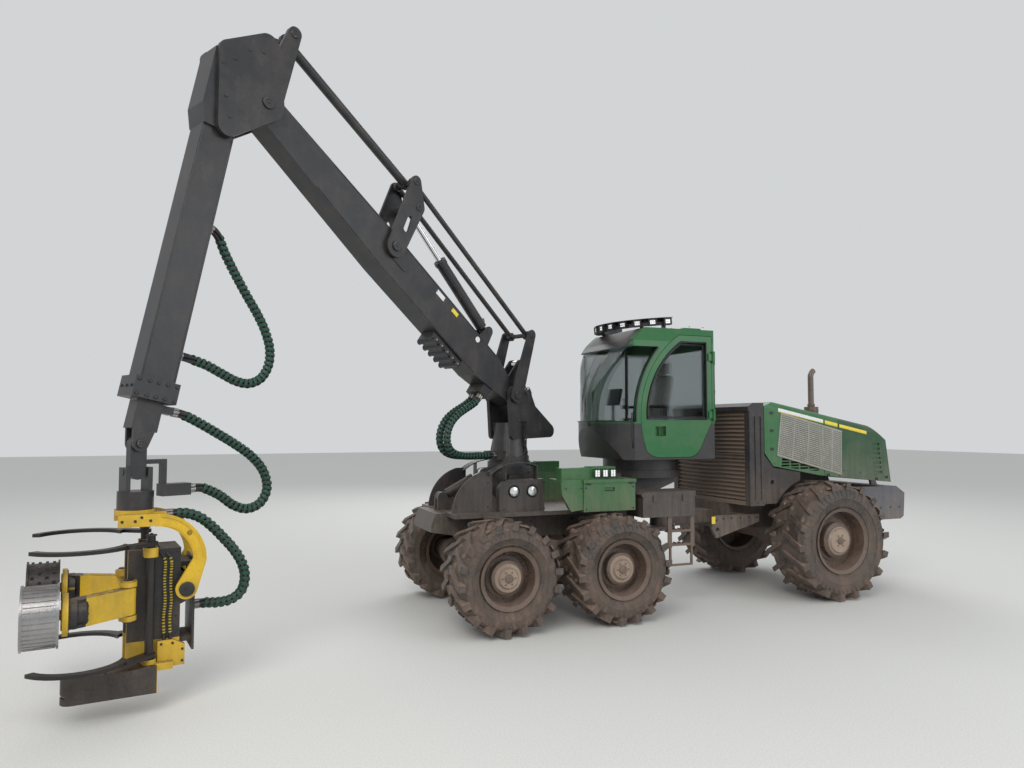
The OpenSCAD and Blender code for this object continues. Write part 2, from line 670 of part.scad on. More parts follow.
module head_body() color(YELLOW) head_place() {
    top = head_h - 335;
    // Spine with two flanks, open towards the stem
    difference() {
        corner_box([420, 440, top - 350], [-360, -220, 350]);
        corner_box([300, 300, top], [-240, -150, 300]);
    }
    corner_box([160, 440, 60], [-360, -220, top - 60]);
    // Pin and lugs of the tilt frame
    translate([tilt_pin[0], 0, tilt_pin[1]]) cross_bar(45, 640);
    for (side = [-1, 1]) upright(side * 180, 60) strap(tilt_pin, 90, [-320, tilt_pin[1]], 150);
    // Foot frame
    for (side = [-1, 1]) upright(side * 245, 50) polygon([[-400, 345], [-400, 520], [-300, 570], [-180, 570],
        [-180, 345]]);
    // Lugs of the knife and arm shafts
    for (side = [-1, 1]) scale([1, side, 1]) {
        shaft_lug(knife_pivot, knife_shaft_r, 400, 40);
        shaft_lug(knife_pivot, knife_shaft_r, 1300, 80);
        for (z = [790, 1070]) shaft_lug(arm_pivot, arm_shaft_r, z, 40);
    }
    saw_box();
    // Guard plate behind, on two ribs
    corner_box([20, 440, 800], [-480, -220, 450]);
    for (z = [520, 1180]) corner_box([120, 360, 40], [-470, -180, z]);
}

// An ear on the body's flank with the bore of a standing shaft
module shaft_lug(at, r, z, h) translate([0, 0, z]) linear_extrude(h) difference() {
    union() {
        translate(at) circle(r = r + 22);
        translate([at[0] - r - 22, 200]) square([2 * r + 44, at[1] - 200]);
    }
    translate(at) circle(r = r + pin_gap);
}

// Flat casing at the left that holds the saw bar, round at its front end
module saw_box() difference() {
    union() {
        translate([0, 0, 180]) linear_extrude(215) hull() {
            translate([-170, 240]) square([20, 180]);
            translate([450, 330]) circle(r = 90, $fn = 48);
        }
        corner_box([200, 200, 60], [-300, 140, 340]);
    }
    corner_box([720, 270, saw_t + 2 * move_gap], [-118, 130, saw_z - move_gap]);
    translate([saw_pivot[0], saw_pivot[1], saw_z]) cylinder(r = saw_shaft_r + pin_gap, h = 100);
}

module arm(side) color(YELLOW) head_place() scale([1, side, 1]) {
    translate([arm_pivot[0], arm_pivot[1], 780]) cylinder(r = arm_shaft_r, h = 340);
    translate([0, 0, 840]) linear_extrude(220) difference() {
        strap(arm_pivot, arm_shaft_r + 15, [440, roller_y - 20], 60);
        strap([190, arm_pivot[1] + 95], 14, [310, roller_y - 110], 14);
    }
    // Plate, motor and axle of the roller
    translate([440, roller_y, roller_z]) rotate([0, 90, 0]) {
        cylinder(r = 120, h = 110);
        translate([0, 0, -60]) cylinder(r = 90, h = 70);
        translate([0, 0, 60]) cylinder(r = 165, h = 40);
        cylinder(r = 40, h = 250);
    }
}

// Feed roller: a drum with end flanges; the right one carries rows of studs, the left one is worn smooth
module roller(side, studs) color(STEEL) head_place() scale([1, side, 1]) translate([560, roller_y, roller_z])
    rotate([0, 90, 0]) difference() {
    drum_r = roller_d / 2 - (studs ? 22 : 12);
    union() {
        cylinder(r = drum_r, h = roller_w);
        for (z = [0, roller_w - 16]) translate([0, 0, z]) cylinder(r = roller_d / 2, h = 16);
        if (studs) for (row = [0 : 3]) for (i = [0 : 15])
            rotate([0, 0, i * 22.5 + row * 11]) translate([drum_r - 4, 0, 46 + row * 56]) rotate([0, 0, 45])
                cube([26, 26, 24], center = true);
    }
    translate([0, 0, -1]) cylinder(r = 40 + pin_gap, h = 140);
    // Dished outer face
    translate([0, 0, roller_w - 30]) cylinder(r = drum_r - 30, h = 40);
}

module arm_left() arm(1);
module arm_right() arm(-1);
module roller_left() roller(1, false);
module roller_right() roller(-1, true);

// A shaft with a curved blade at its top and its foot; it stands open by knife_open
module knife(side, lift) color(DARK) head_place() scale([1, side, 1]) {
    translate([knife_pivot[0], knife_pivot[1], 440.3]) cylinder(r = knife_shaft_r, h = 1040);
    translate([knife_pivot[0], knife_pivot[1], 0]) rotate([0, 0, knife_open]) translate(-knife_pivot)
        for (z = [455 + lift, 1400 + lift]) translate([0, 0, z]) linear_extrude(30) blade();
}

// The blade's closed outline, round the stem
module blade() {
    strap(knife_pivot, knife_shaft_r + 20, [90, 350], 50);
    difference() {
        translate([330, 0]) circle(r = 425);
        translate([345, 0]) circle(r = 345);
        translate([-200, -600]) square([280, 1200]);
        translate([-200, -600]) square([1200, 640]);
    }
}

module knife_left() knife(1, 0);
module knife_right() knife(-1, 38);

module saw_bar() color(STEEL) head_place() translate([saw_pivot[0], saw_pivot[1], saw_z]) {
    linear_extrude(saw_t) strap([0, 0], 60, [520, 0], 55);
    cylinder(r = saw_shaft_r, h = 90);
}

// Cab
module cab_solid(inset) intersection() {
    linear_extrude(5000) intersection() {
        translate([-770 + inset, -cab_w / 2 + inset]) square([1800, cab_w - 2 * inset]);
        union() {
            translate([-770 + inset, -cab_w / 2]) square([1170 - inset, cab_w]);
            circle(r = cab_nose_r - inset, $fn = 180);
        }
    }
    // Side outline: level floor, slanted bowl under the windscreen, arched front and roof
    upright(0, 3000) intersection() {
        polygon([[-900, cab_floor_z + inset], [cab_nose_r - 250 - inset, cab_floor_z + inset],
            [cab_nose_r + 20 - inset, waist_z - 60], [cab_nose_r + 20, cab_roof_z], [cab_nose_r, cab_roof_z - inset],
            [-900, cab_roof_z - inset]]);
        translate([-550, 2600]) circle(r = 1460 - inset, $fn = 180);
    }
}

// The door from the side: arched front edge, straight rear edge down to the waist, and a round foot
module door_outline(grow) intersection() {
    hull() {
        translate([door_rear - grow, waist_z]) square([1180 + 2 * grow, 1190 + grow]);
        translate([120, door_low + 300]) circle(r = 300 + grow, $fn = 64);
        translate([-330, door_low + 230]) circle(r = 230 + grow, $fn = 64);
    }
    translate(front_arc) circle(r = front_arc_r + grow, $fn = 180);
}

module cab_shell() color(GREEN) cab_place() {
    difference() {
        cab_solid(0);
        cab_solid(cab_wall);
        translate([-1500, -1500, roof_z]) cube([3000, 3000, 500]);
        // Door opening, side and rear windows, windscreen
        upright(1000, 700) door_outline(move_gap);
        upright(-1000, 700) side_window(0);
        translate([-900, -520, window_z]) cube([300, 1040, window_h]);
        upright(0, 2000) screen_outline(0);
    }
    translate([0, 0, 1800.3]) cylinder(r = 540, h = cab_floor_z - 1800);
    // Door hinge pins and their brackets
    for (z = hinge_zs) translate([door_pin[0], door_pin[1], z]) {
        cylinder(r = 12, h = 160);
        for (h = [0, 130 + pin_gap]) translate([0, 0, h]) {
            cylinder(r = 22, h = 30 - pin_gap);
            translate([-22, -40, 0]) cube([22, 40, 30 - pin_gap]);
        }
    }
}

module side_window(grow) intersection() {
    translate([-640 - grow, window_z - grow]) square([1000 + 2 * grow, window_h + 2 * grow]);
    translate(front_arc) circle(r = front_arc_r - 100 + grow, $fn = 180);
}

// The wrapped windscreen's outline from the side, ahead of the door's front edge
module screen_outline(grow) difference() {
    translate([-200, window_z - grow]) square([1400, window_h + 2 * grow]);
    translate(front_arc) circle(r = front_arc_r + 90 - grow, $fn = 180);
}

module cab_roof() color(GREEN) cab_place() {
    difference() {
        cab_solid(0);
        translate([-1500, -1500, 0]) cube([3000, 3000, roof_z + pin_gap]);
        translate([0, 0, -40]) cab_solid(cab_wall);
        upright(1000, 700) door_outline(move_gap);
    }
    // Raised hatch at the rear
    upright(0, 1000) polygon([[-760, cab_roof_z - 70], [-760, cab_roof_z + 10], [-700, cab_roof_z + 50],
        [-430, cab_roof_z + 50], [-330, cab_roof_z - 40]]);
}

module cab_glass() color(GLASS) cab_place() {
    difference() {
        cab_solid(25);
        cab_solid(25 + glass_t);
        upright(0, 2000) difference() {
            translate([-1500, 0]) square([3500, 5000]);
            screen_outline(-pin_gap);
        }
    }
    upright(-cab_w / 2 + 30, glass_t) side_window(-pin_gap);
    corner_box([glass_t, 1040 - 2 * pin_gap, window_h - 2 * pin_gap], [-745, -520 + pin_gap, window_z + pin_gap]);
}

// Seat on its pedestal, with a headrest, armrests and their control pods
module cab_seat() color(DUST) cab_place() {
    floor_top = cab_floor_z + cab_wall;
    seat_z = floor_top + 400;
    upright(0, 520) hull() for (at = [[-300, seat_z + 60], [130, seat_z + 70]]) translate(at) circle(r = 60);
    upright(0, 480) hull() {
        translate([-290, seat_z + 130]) circle(r = 50);
        translate([-385, seat_z + 700]) circle(r = 45);
    }
    upright(0, 280) hull() for (z = [790, 880]) translate([-400, seat_z + z]) circle(r = 42);
    corner_box([20, 120, 100], [-405, -60, seat_z + 700]);
    corner_box([300, 300, seat_z - floor_top + 20], [-240, -150, floor_top]);
    for (side = [-1, 1]) scale([1, side, 1]) {
        corner_box([60, 50, 220], [-300, 210, seat_z + 60]);
        corner_box([420, 60, 50], [-330, 208, seat_z + 250]);
        translate([110, 224, seat_z + 240]) cylinder(r = 48, h = 70);
        translate([110, 224, seat_z + 300]) cylinder(r = 16, h = 110);
    }
}

module cab_trim() color(DARK) cab_place() {
    // Lamp bar round the roof's front edge, a pocket for each lamp
    translate([-130, 0, cab_roof_z + 105]) rotate([0, bar_tilt, 0]) {
        translate([0, 0, -45]) rotate([0, 0, -84]) rotate_extrude(angle = 168) translate([bar_r, 0]) square([70, 45]);
        for (a = [-80 : 16 : 80]) rotate([0, 0, a]) difference() {
            translate([bar_r + 60, -56, -53]) cube([80, 112, 98]);
            translate([bar_r + 125, -44, -41]) cube([30, 88, 74]);
        }
    }
    // The bar's four feet on the roof
    for (a = [-78, -52, 52, 78]) translate([-130, 0, cab_roof_z + pin_gap]) rotate([0, 0, a])
        corner_box([40, 50, 70], [bar_r + 14, -25, 0]);
    // Console under the windscreen, with a screen on a stalk
    floor_top = cab_floor_z + cab_wall;
    intersection() {
        upright(0, 460) polygon([[480, floor_top], [480, floor_top + 450], [560, floor_top + 480],
            [640, floor_top + 390], [640, floor_top]]);
        cab_solid(cab_wall + pin_gap);
    }
    translate([540, 170, floor_top + 440]) cylinder(r = 18, h = 300);
    translate([520, 170, floor_top + 800]) rotate([0, -12, 0]) cube([30, 320, 230], center = true);
    // Grab rail up the rear left corner
    for (z = [waist_z + 20, roof_z - 280]) corner_box([32, 60, 22], [-802, 630, z - 11]);
    translate([-795, 680, waist_z - 10]) cylinder(r = 16, h = roof_z - waist_z - 200);
}

module cab_door() color(GREEN) cab_place() {
    upright(cab_w / 2 - cab_wall / 2, cab_wall) difference() {
        door_outline(0);
        door_window(0);
        translate([30, waist_z - 200]) square([170, 130]);
    }
    // Floor and grip of the recessed handle
    upright(cab_w / 2 - cab_wall + 8, 16) translate([25, waist_z - 205]) square([180, 140]);
    corner_box([40, 30, 110], [95, cab_w / 2 - cab_wall + 14, waist_z - 190]);
    for (z = hinge_zs) translate([door_pin[0], door_pin[1], z + 30]) difference() {
        union() {
            cylinder(r = 22, h = 100);
            translate([0, -18, 0]) cube([78, 14, 100]);
            translate([22, -34, 0]) cube([56, 30, 100]);
        }
        translate([0, 0, -1]) cylinder(r = 12 + pin_gap, h = 102);
    }
}

module door_window(grow) intersection() {
    translate([-650 - grow, 2500 - grow]) square([1000 + 2 * grow, 1090 + 2 * grow]);
    translate(front_arc) circle(r = front_arc_r - 80 + grow, $fn = 180);
}

module door_glass() color(GLASS) cab_place() upright(cab_w / 2 - cab_wall / 2, glass_t) door_window(-pin_gap);

// Rear frame
module rear_frame() color(DARK) machine() {
    half = frame_w / 2;
    low = frame_z + 120;
    difference() {
        union() {
            translate([-pivot_back, 0, low + pin_gap]) cylinder(r = 170, h = deck_z - frame_z - 230 - 2 * pin_gap);
            corner_box([900, 300, 180], [-3150, -150, low + 20]);
            corner_box([tail_back - 3300, frame_w, beam_top_z - frame_z - 60], [300 - tail_back, -half, frame_z + 60]);
        }
        translate([-pivot_back, 0, 0]) cylinder(r = 70 + pin_gap, h = 3000);
        translate([-wheelbase, 0, rear_r]) {
            cross_bar(axle_r + pin_gap, 1000);
            sphere(r = 260 + pin_gap);
        }
    }
    // Side plates with the tie-down holes, and the beam that carries them
    for (side = [-1, 1]) upright(side * 680, 50) difference() {
        polygon([[-2560, 1000], [-2640, 850], [-3380, 1050], [-3380, 1160], [-2620, 1160]]);
        translate([-2660, 970]) circle(r = 30);
    }
    corner_box([120, 1320, 120], [-3200, -660, 1040]);
    // Tail and the hood's hinge brackets
    translate([-tail_back, 0, 0]) upright(0, tail_w) polygon([[820, 1000], [1060, tail_top - 60], [1060, tail_top],
        [170, tail_top], [0, tail_top - 110], [30, 1040], [90, 1000]]);
    for (side = [-1, 1]) upright(side * 500, 40) difference() {
        strap([-tail_back + 200, 1480], 60, hood_pin, 38);
        translate(hood_pin) circle(r = 15 + pin_gap);
    }
}

module rear_axle() color(DUST) machine() translate([-wheelbase, 0, rear_r]) {
    cross_bar(axle_r, 2 * (wheel_inner_y - 10));
    cross_bar(hub_bore_r - pin_gap, 2 * (hub_y + hub_depth - 10));
    sphere(r = 260);
}

module engine() color(STEEL) machine() {
    size = [1230, 900, 800];
    corner_box(size, [hood_front - 390 - size[0], -size[1] / 2, beam_top_z]);
}

// Cooler: a tall case with two louvred panels in its front, ribbed sides and a chamfered lid
module cooler() color(DARK) machine() {
    lid_z = cooler_top - 110;
    rear = cooler_x - cooler_t;
    half = cooler_w / 2;
    panel_w = cooler_w - 220;
    panel_zs = [beam_top_z + 60, beam_top_z + 720];
    difference() {
        corner_box([cooler_t, cooler_w, lid_z - beam_top_z + 10], [rear, -half, beam_top_z]);
        for (z = panel_zs) corner_box([80, panel_w, 600], [cooler_x - 40, -panel_w / 2, z]);
        // Long grooves down the sides
        for (side = [-1, 1]) for (x = [50, 150])
            corner_box([40, 24, lid_z - beam_top_z - 160], [rear + x, side * half - 12, beam_top_z + 80]);
    }
    for (z = panel_zs) for (i = [0 : 9]) translate([cooler_x - 24, 0, z + 32 + i * 59])
        rotate([0, 38, 0]) cube([46, panel_w + 20, 8], center = true);
    upright(0, cooler_w) polygon([[rear, lid_z], [rear, cooler_top], [cooler_x - 60, cooler_top],
        [cooler_x + 20, cooler_top - 50], [cooler_x + 20, lid_z]]);
    // Side panels behind, cut round the rear tyres
    for (side = [-1, 1]) upright(side * (half - 30), 30) difference() {
        polygon([[rear + 10, beam_top_z + 20], [rear + 10, 2030], [hood_front - 165, 1825],
            [hood_front - 640, 1750], [hood_front - 640, beam_top_z + 20]]);
        translate([-wheelbase, rear_r]) circle(r = rear_r + 40, $fn = 96);
        translate([hood_front - 140, 1620]) circle(r = 32);
    }
}

module hood_profile(inset) polygon([[hood_front + inset, 2050], [hood_front - inset, hood_top - 60 - inset],
    [hood_front - 190, hood_top - inset], [hood_rear + 400, hood_top - hood_fall - inset],
    [hood_rear + 100 + inset, 2200 - inset], [hood_rear + inset, hood_low], [-wheelbase - 80, hood_low],
    [hood_front - 150, hood_low]]);

module hood_lower() polygon([[hood_front + 10, 2050], [hood_front - 150, 1850], [-wheelbase - 80, 1700],
    [hood_rear - 50, 1560], [hood_rear - 50, 900], [hood_front + 110, 900], [hood_front + 110, 2050]]);

// A grille's outline in the hood's side
module hood_window(grow) translate([hood_front, 0]) offset(delta = grow)
    polygon([[-290, 1830], [-370, 2430], [-980, 2330], [-980, 1760]]);

// A shallow groove round the hood where two of its panels meet
module hood_groove(x) intersection() {
    corner_box([10, hood_w + 20, 2000], [x, -hood_w / 2 - 10, 1000]);
    difference() {
        upright(0, hood_w + 20) hood_profile(-10);
        upright(0, hood_w - 16) hood_profile(8);
    }
}

module hood() color(GREEN) machine() {
    half = hood_w / 2;
    slope = atan(hood_fall / (hood_front - hood_rear - 590));
    difference() {
        intersection() {
            upright(0, hood_w) hood_profile(0);
            // Rounded shoulders along the falling ridge
            translate([hood_front - 190, 0, hood_top]) rotate([0, -slope, 0]) rotate([90, 0, -90])
                translate([0, 0, -400]) linear_extrude(3200) hull() {
                for (side = [-1, 1]) translate([side * (half - 120), -110]) circle(r = 120, $fn = 48);
                translate([-half, -1800]) square([hood_w, 10]);
            }
        }
        upright(0, hood_w - 2 * hood_t) hood_profile(hood_t);
        upright(0, hood_w + 10) hood_lower();
        upright(0, hood_w + 10) hood_window(0);
        for (x = [1090, 1360]) hood_groove(hood_front - x);
        // Vents near the rear edge
        for (side = [-1, 1]) for (i = [0 : 6])
            translate([hood_rear + 260 + i * 8, side * half, 1720 + i * 70]) cube([150, 30, 36], center = true);
    }
    // Bars of the side grilles
    for (side = [-1, 1]) upright(side * (half - hood_t / 2), 20) intersection() {
        hood_window(8);
        union() {
            for (z = [1780 : 42 : 2430]) translate([hood_front - 1010, z]) square([760, 16]);
            for (x = [480, 650, 820]) translate([hood_front - x, 1700]) square([22, 800]);
        }
    }
    // Hinge lugs and pins
    for (side = [-1, 1]) {
        for (e = [-1, 1]) upright(side * 500 + e * 40, 30) strap([hood_pin[0] + 85, 1650], 40, hood_pin, 30);
        translate([hood_pin[0], side * 500, hood_pin[1]]) cross_bar(15, 110);
    }
}

module exhaust() color(DUST) machine() difference() {
    translate([-wheelbase - 820, 0, 0]) {
        translate([0, 0, 2400]) cylinder(r = 110, h = 320);
        translate([0, 0, 2700]) cylinder(r = 45, h = 500);
        translate([-120, 0, 3199]) rotate([90, 0, 0]) rotate_extrude(angle = 60) translate([120, 0]) circle(r = 44);
    }
    upright(0, hood_w) hood_profile(0);
}

module tyre_front_left() color(RUBBER) wheel_at(bogie_span / 2, front_r, 1) tyre(front_r, front_rim_d / 2);
module tyre_front_right() color(RUBBER) wheel_at(bogie_span / 2, front_r, -1) tyre(front_r, front_rim_d / 2);
module tyre_mid_left() color(RUBBER) wheel_at(-bogie_span / 2, front_r, 1) tyre(front_r, front_rim_d / 2);
module tyre_mid_right() color(RUBBER) wheel_at(-bogie_span / 2, front_r, -1) tyre(front_r, front_rim_d / 2);
module tyre_rear_left() color(RUBBER) wheel_at(-wheelbase, rear_r, 1) tyre(rear_r, rear_rim_d / 2);
module tyre_rear_right() color(RUBBER) wheel_at(-wheelbase, rear_r, -1) tyre(rear_r, rear_rim_d / 2);
module rim_front_left() color(DUST) wheel_at(bogie_span / 2, front_r, 1) rim(front_rim_d / 2);
module rim_front_right() color(DUST) wheel_at(bogie_span / 2, front_r, -1) rim(front_rim_d / 2);
module rim_mid_left() color(DUST) wheel_at(-bogie_span / 2, front_r, 1) rim(front_rim_d / 2);
module rim_mid_right() color(DUST) wheel_at(-bogie_span / 2, front_r, -1) rim(front_rim_d / 2);
module rim_rear_left() color(DUST) wheel_at(-wheelbase, rear_r, 1) rim(rear_rim_d / 2);
module rim_rear_right() color(DUST) wheel_at(-wheelbase, rear_r, -1) rim(rear_rim_d / 2);

front_frame();
bogies();
side_boxes();
battery_boxes();
ladder();
crane_base();
crane_pillar();
boom();
jib();
extension();
link_lever();
link_rocker();
lower_rods();
upper_rod();
lift_barrel();
lift_rod();
jib_barrel();
jib_rod();
tilt_barrel();
tilt_rod();
tip_link();
rotator();
head_frame();
head_body();
arm_left();
arm_right();
roller_left();
roller_right();
knife_left();
knife_right();
saw_bar();
cab_shell();
cab_roof();
cab_glass();
cab_seat();
cab_trim();
cab_door();
door_glass();
rear_frame();
rear_axle();
engine();
cooler();
hood();
exhaust();
tyre_front_left();
tyre_front_right();
tyre_mid_left();
tyre_mid_right();
tyre_rear_left();
tyre_rear_right();
rim_front_left();
rim_front_right();
rim_mid_left();
rim_mid_right();
rim_rear_left();
rim_rear_right();
base_hoses();
upper_hose();
reach_hose();
head_hose();
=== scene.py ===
"""Looks of the forestry harvester: materials, fine pieces, floor, light and camera."""
import json
import math
import random

import bmesh
import bpy
from mathutils import Matrix, Vector


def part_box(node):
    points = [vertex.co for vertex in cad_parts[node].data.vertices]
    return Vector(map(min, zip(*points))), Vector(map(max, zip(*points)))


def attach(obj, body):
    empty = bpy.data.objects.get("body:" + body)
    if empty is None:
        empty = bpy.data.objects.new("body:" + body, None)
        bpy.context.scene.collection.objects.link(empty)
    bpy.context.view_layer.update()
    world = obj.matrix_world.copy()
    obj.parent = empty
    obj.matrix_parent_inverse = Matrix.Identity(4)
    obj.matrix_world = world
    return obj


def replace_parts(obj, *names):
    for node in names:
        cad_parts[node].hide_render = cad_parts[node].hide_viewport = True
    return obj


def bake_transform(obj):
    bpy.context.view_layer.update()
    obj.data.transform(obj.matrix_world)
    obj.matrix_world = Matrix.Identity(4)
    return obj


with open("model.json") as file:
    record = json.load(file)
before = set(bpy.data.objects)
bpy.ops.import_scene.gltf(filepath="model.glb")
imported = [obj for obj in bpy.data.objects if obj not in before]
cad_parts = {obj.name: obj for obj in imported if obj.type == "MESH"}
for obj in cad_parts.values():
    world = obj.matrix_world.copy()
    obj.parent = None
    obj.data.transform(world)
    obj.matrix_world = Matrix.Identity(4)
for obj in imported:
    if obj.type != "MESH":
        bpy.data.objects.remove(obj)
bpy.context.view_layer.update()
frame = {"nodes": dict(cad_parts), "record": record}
NODES = frame["nodes"]
random.seed(7)


# Frames of reference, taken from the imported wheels
def centre(node):
    low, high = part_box(node)
    return (low + high) / 2


front_hub = centre("rim_front_left")
mid_hub = centre("rim_mid_left")
BOGIE_X = (front_hub.x + mid_hub.x) / 2
CENTRE_Y = (front_hub.y + centre("rim_front_right").y) / 2

# Places and lengths in metres, angles in degrees
SLEW_AHEAD = 0.2
PIVOT_OUT, PIVOT_UP = 0.1, 2.83
CRANE_TURN, BOOM_RISE, JIB_DROP, HEAD_TURN = 25, 37.7, 78, 8
BOOM_LENGTH = 4.61
TIP_ALONG, TIP_OUT = 3.54, 0.38
HANG_LENGTH, HEAD_HEIGHT = 0.58, 1.686
CAB_BACK = 1.85
HALF_TRACK = 1.125


def rotation(angle, axis):
    return Matrix.Rotation(math.radians(angle), 4, axis)


def moved(x, y, z):
    """A shift given in millimetres."""
    return Matrix.Translation((x / 1000, y / 1000, z / 1000))


MACHINE = Matrix.Translation((BOGIE_X, CENTRE_Y, 0))
CRANE = MACHINE @ Matrix.Translation((SLEW_AHEAD, 0, 0)) @ rotation(CRANE_TURN, "Z")
BOOM = CRANE @ Matrix.Translation((PIVOT_OUT, 0, PIVOT_UP)) @ rotation(-BOOM_RISE, "Y")
ELBOW = BOOM @ Vector((BOOM_LENGTH, 0, 0))
JIB = Matrix.Translation(ELBOW) @ rotation(CRANE_TURN, "Z") @ rotation(JIB_DROP, "Y")
TIP = JIB @ Vector((TIP_ALONG, 0, TIP_OUT))
HEAD = Matrix.Translation((TIP.x, TIP.y, 0)) @ rotation(HEAD_TURN, "Z")
GRIP = HEAD @ Matrix.Translation((0, 0, TIP.z - HANG_LENGTH - HEAD_HEIGHT))
CAB = MACHINE @ Matrix.Translation((-CAB_BACK, 0, 0))


# Materials
def shader(name):
    """A new node material: its node tree, its principled shader and a maker of linked nodes."""
    material = bpy.data.materials.new(name)
    material.use_nodes = True
    tree = material.node_tree
    bsdf = tree.nodes["Principled BSDF"]

    def add(kind, inputs=None, **props):
        node = tree.nodes.new(kind)
        for key, value in props.items():
            setattr(node, key, value)
        for key, value in (inputs or {}).items():
            if isinstance(value, bpy.types.NodeSocket):
                tree.links.new(value, node.inputs[key])
            else:
                node.inputs[key].default_value = value
        return node

    def link(socket, key):
        tree.links.new(socket, bsdf.inputs[key])

    return material, bsdf, add, link


def colour(c):
    return (c[0], c[1], c[2], 1.0)


def noise(add, scale, detail=6.0, rough=0.6, vector=None):
    coords = vector or add("ShaderNodeTexCoord").outputs["Object"]
    return add("ShaderNodeTexNoise", {"Vector": coords, "Scale": scale, "Detail": detail, "Roughness": rough})


def ramp(add, factor, low, high):
    inputs = {"Value": factor, "From Min": low, "From Max": high}
    return add("ShaderNodeMapRange", inputs, clamp=True).outputs[0]


def mixed(add, factor, a, b):
    node = add("ShaderNodeMix", data_type="RGBA")
    tree = node.id_data
    for index, value in ((0, factor), (6, a), (7, b)):
        if isinstance(value, bpy.types.NodeSocket):
            tree.links.new(value, node.inputs[index])
        else:
            node.inputs[index].default_value = value
    return node.outputs[2]


def calc(add, kind, a, b):
    return add("ShaderNodeMath", {0: a, 1: b}, operation=kind).outputs[0]


def worn(name, base, dust, rough=0.45, metallic=0.0, mud_low=0.9, mud_high=1.9, mud=0.5, grain=9.0, bump=0.15,
         dirt=0.35, coat=0.0, other=None, share=None):
    """A painted or muddy surface: dust in patches and on upward faces, mud near the ground.

    Where share gives 1, the surface has the other colour: a second paint, or on the hood a painted shade.
    """
    material, bsdf, add, link = shader(name)
    coords = add("ShaderNodeTexCoord").outputs["Object"]
    geometry = add("ShaderNodeNewGeometry")
    height = add("ShaderNodeSeparateXYZ", {0: coords}).outputs["Z"]
    upward = add("ShaderNodeSeparateXYZ", {0: geometry.outputs["Normal"]}).outputs["Z"]
    patches = noise(add, grain * 0.35, 8.0, 0.65, coords).outputs["Fac"]
    fine = noise(add, grain * 9.0, 4.0, 0.7, coords).outputs["Fac"]
    streaks = add("ShaderNodeMapping", {"Vector": coords, "Scale": (6.0, 6.0, 0.7)}).outputs[0]
    runs = noise(add, 3.0, 5.0, 0.6, streaks).outputs["Fac"]
    low = ramp(add, height, mud_high, mud_low)
    lying = ramp(add, upward, 0.35, 0.95)
    amount = calc(add, "MULTIPLY", ramp(add, patches, 0.42, 0.68), dirt)
    amount = calc(add, "ADD", amount, calc(add, "MULTIPLY", low, mud))
    amount = calc(add, "ADD", amount, calc(add, "MULTIPLY", lying, dirt * 1.2))
    amount = calc(add, "MULTIPLY", amount, ramp(add, calc(add, "ADD", runs, fine), 0.55, 1.15))
    amount = add("ShaderNodeMath", {0: amount, 1: 1.0}, operation="MINIMUM").outputs[0]
    shade = mixed(add, ramp(add, fine, 0.3, 0.7), colour([v * 0.8 for v in base]), colour(base))
    if other:
        shade = mixed(add, share(add, coords), shade, colour(other))
    earth = mixed(add, fine, colour([v * 0.7 for v in dust]), colour([min(1, v * 1.15) for v in dust]))
    link(mixed(add, amount, shade, earth), "Base Color")
    if rough > 0.6:
        gloss = ramp(add, amount, -0.1, 1.0)
    else:
        gloss = calc(add, "ADD", calc(add, "MULTIPLY", amount, 0.45), rough)
    link(gloss, "Roughness")
    bsdf.inputs["Metallic"].default_value = metallic
    bsdf.inputs["Coat Weight"].default_value = coat
    relief = calc(add, "ADD", calc(add, "MULTIPLY", fine, 0.3), calc(add, "MULTIPLY", amount, 0.8))
    link(add("ShaderNodeBump", {"Height": relief, "Strength": bump, "Distance": 0.01}).outputs[0], "Normal")
    return material


def below(z):
    """Gives 1 under a height, for a second paint."""
    def share(add, coords):
        height = add("ShaderNodeSeparateXYZ", {0: coords}).outputs["Z"]
        return ramp(add, height, z + 0.004, z - 0.004)
    return share


def within(x_low, x_high, half=9.0, z_low=-1.0, z_high=9.0):
    """Gives 1 inside a box about the middle line, for a second paint or, on the hood, a painted shade."""
    def share(add, coords):
        parts = add("ShaderNodeSeparateXYZ", {0: coords})
        off = calc(add, "ABSOLUTE", calc(add, "SUBTRACT", parts.outputs["Y"], CENTRE_Y), 0.0)
        found = ramp(add, off, half + 0.004, half - 0.004)
        for axis, low, high in (("X", x_low, x_high), ("Z", z_low, z_high)):
            found = calc(add, "MULTIPLY", found, ramp(add, parts.outputs[axis], low - 0.003, low + 0.003))
            found = calc(add, "MULTIPLY", found, ramp(add, parts.outputs[axis], high + 0.003, high - 0.003))
        return found
    return share


def boxes(base, places):
    """Gives 1 inside any of some boxes in a frame of reference, in millimetres, for a second paint."""
    def share(add, coords):
        axes = []
        for column in range(3):
            axis = base.col[column].xyz
            along = add("ShaderNodeVectorMath", {0: coords, 1: axis}, operation="DOT_PRODUCT")
            axes.append(calc(add, "SUBTRACT", along.outputs["Value"], axis.dot(base.translation)))
        total = None
        for place in places:
            found = None
            for value, (low, high) in zip(axes, place):
                one = calc(add, "MULTIPLY", ramp(add, value, low / 1000 - 0.001, low / 1000 + 0.001),
                           ramp(add, value, high / 1000 + 0.001, high / 1000 - 0.001))
                found = calc(add, "MULTIPLY", found, one) if found else one
            total = calc(add, "MAXIMUM", total, found) if total else found
        return total
    return share


def round_about(hub, r):
    """Gives 1 within a distance of a wheel's axis, for a second paint."""
    def share(add, coords):
        away = add("ShaderNodeVectorMath", {0: coords, 1: hub}, operation="SUBTRACT").outputs[0]
        flat = add("ShaderNodeVectorMath", {0: away, 1: (1, 0, 1)}, operation="MULTIPLY").outputs[0]
        length = add("ShaderNodeVectorMath", {0: flat}, operation="LENGTH").outputs["Value"]
        return ramp(add, length, r + 0.004, r - 0.004)
    return share


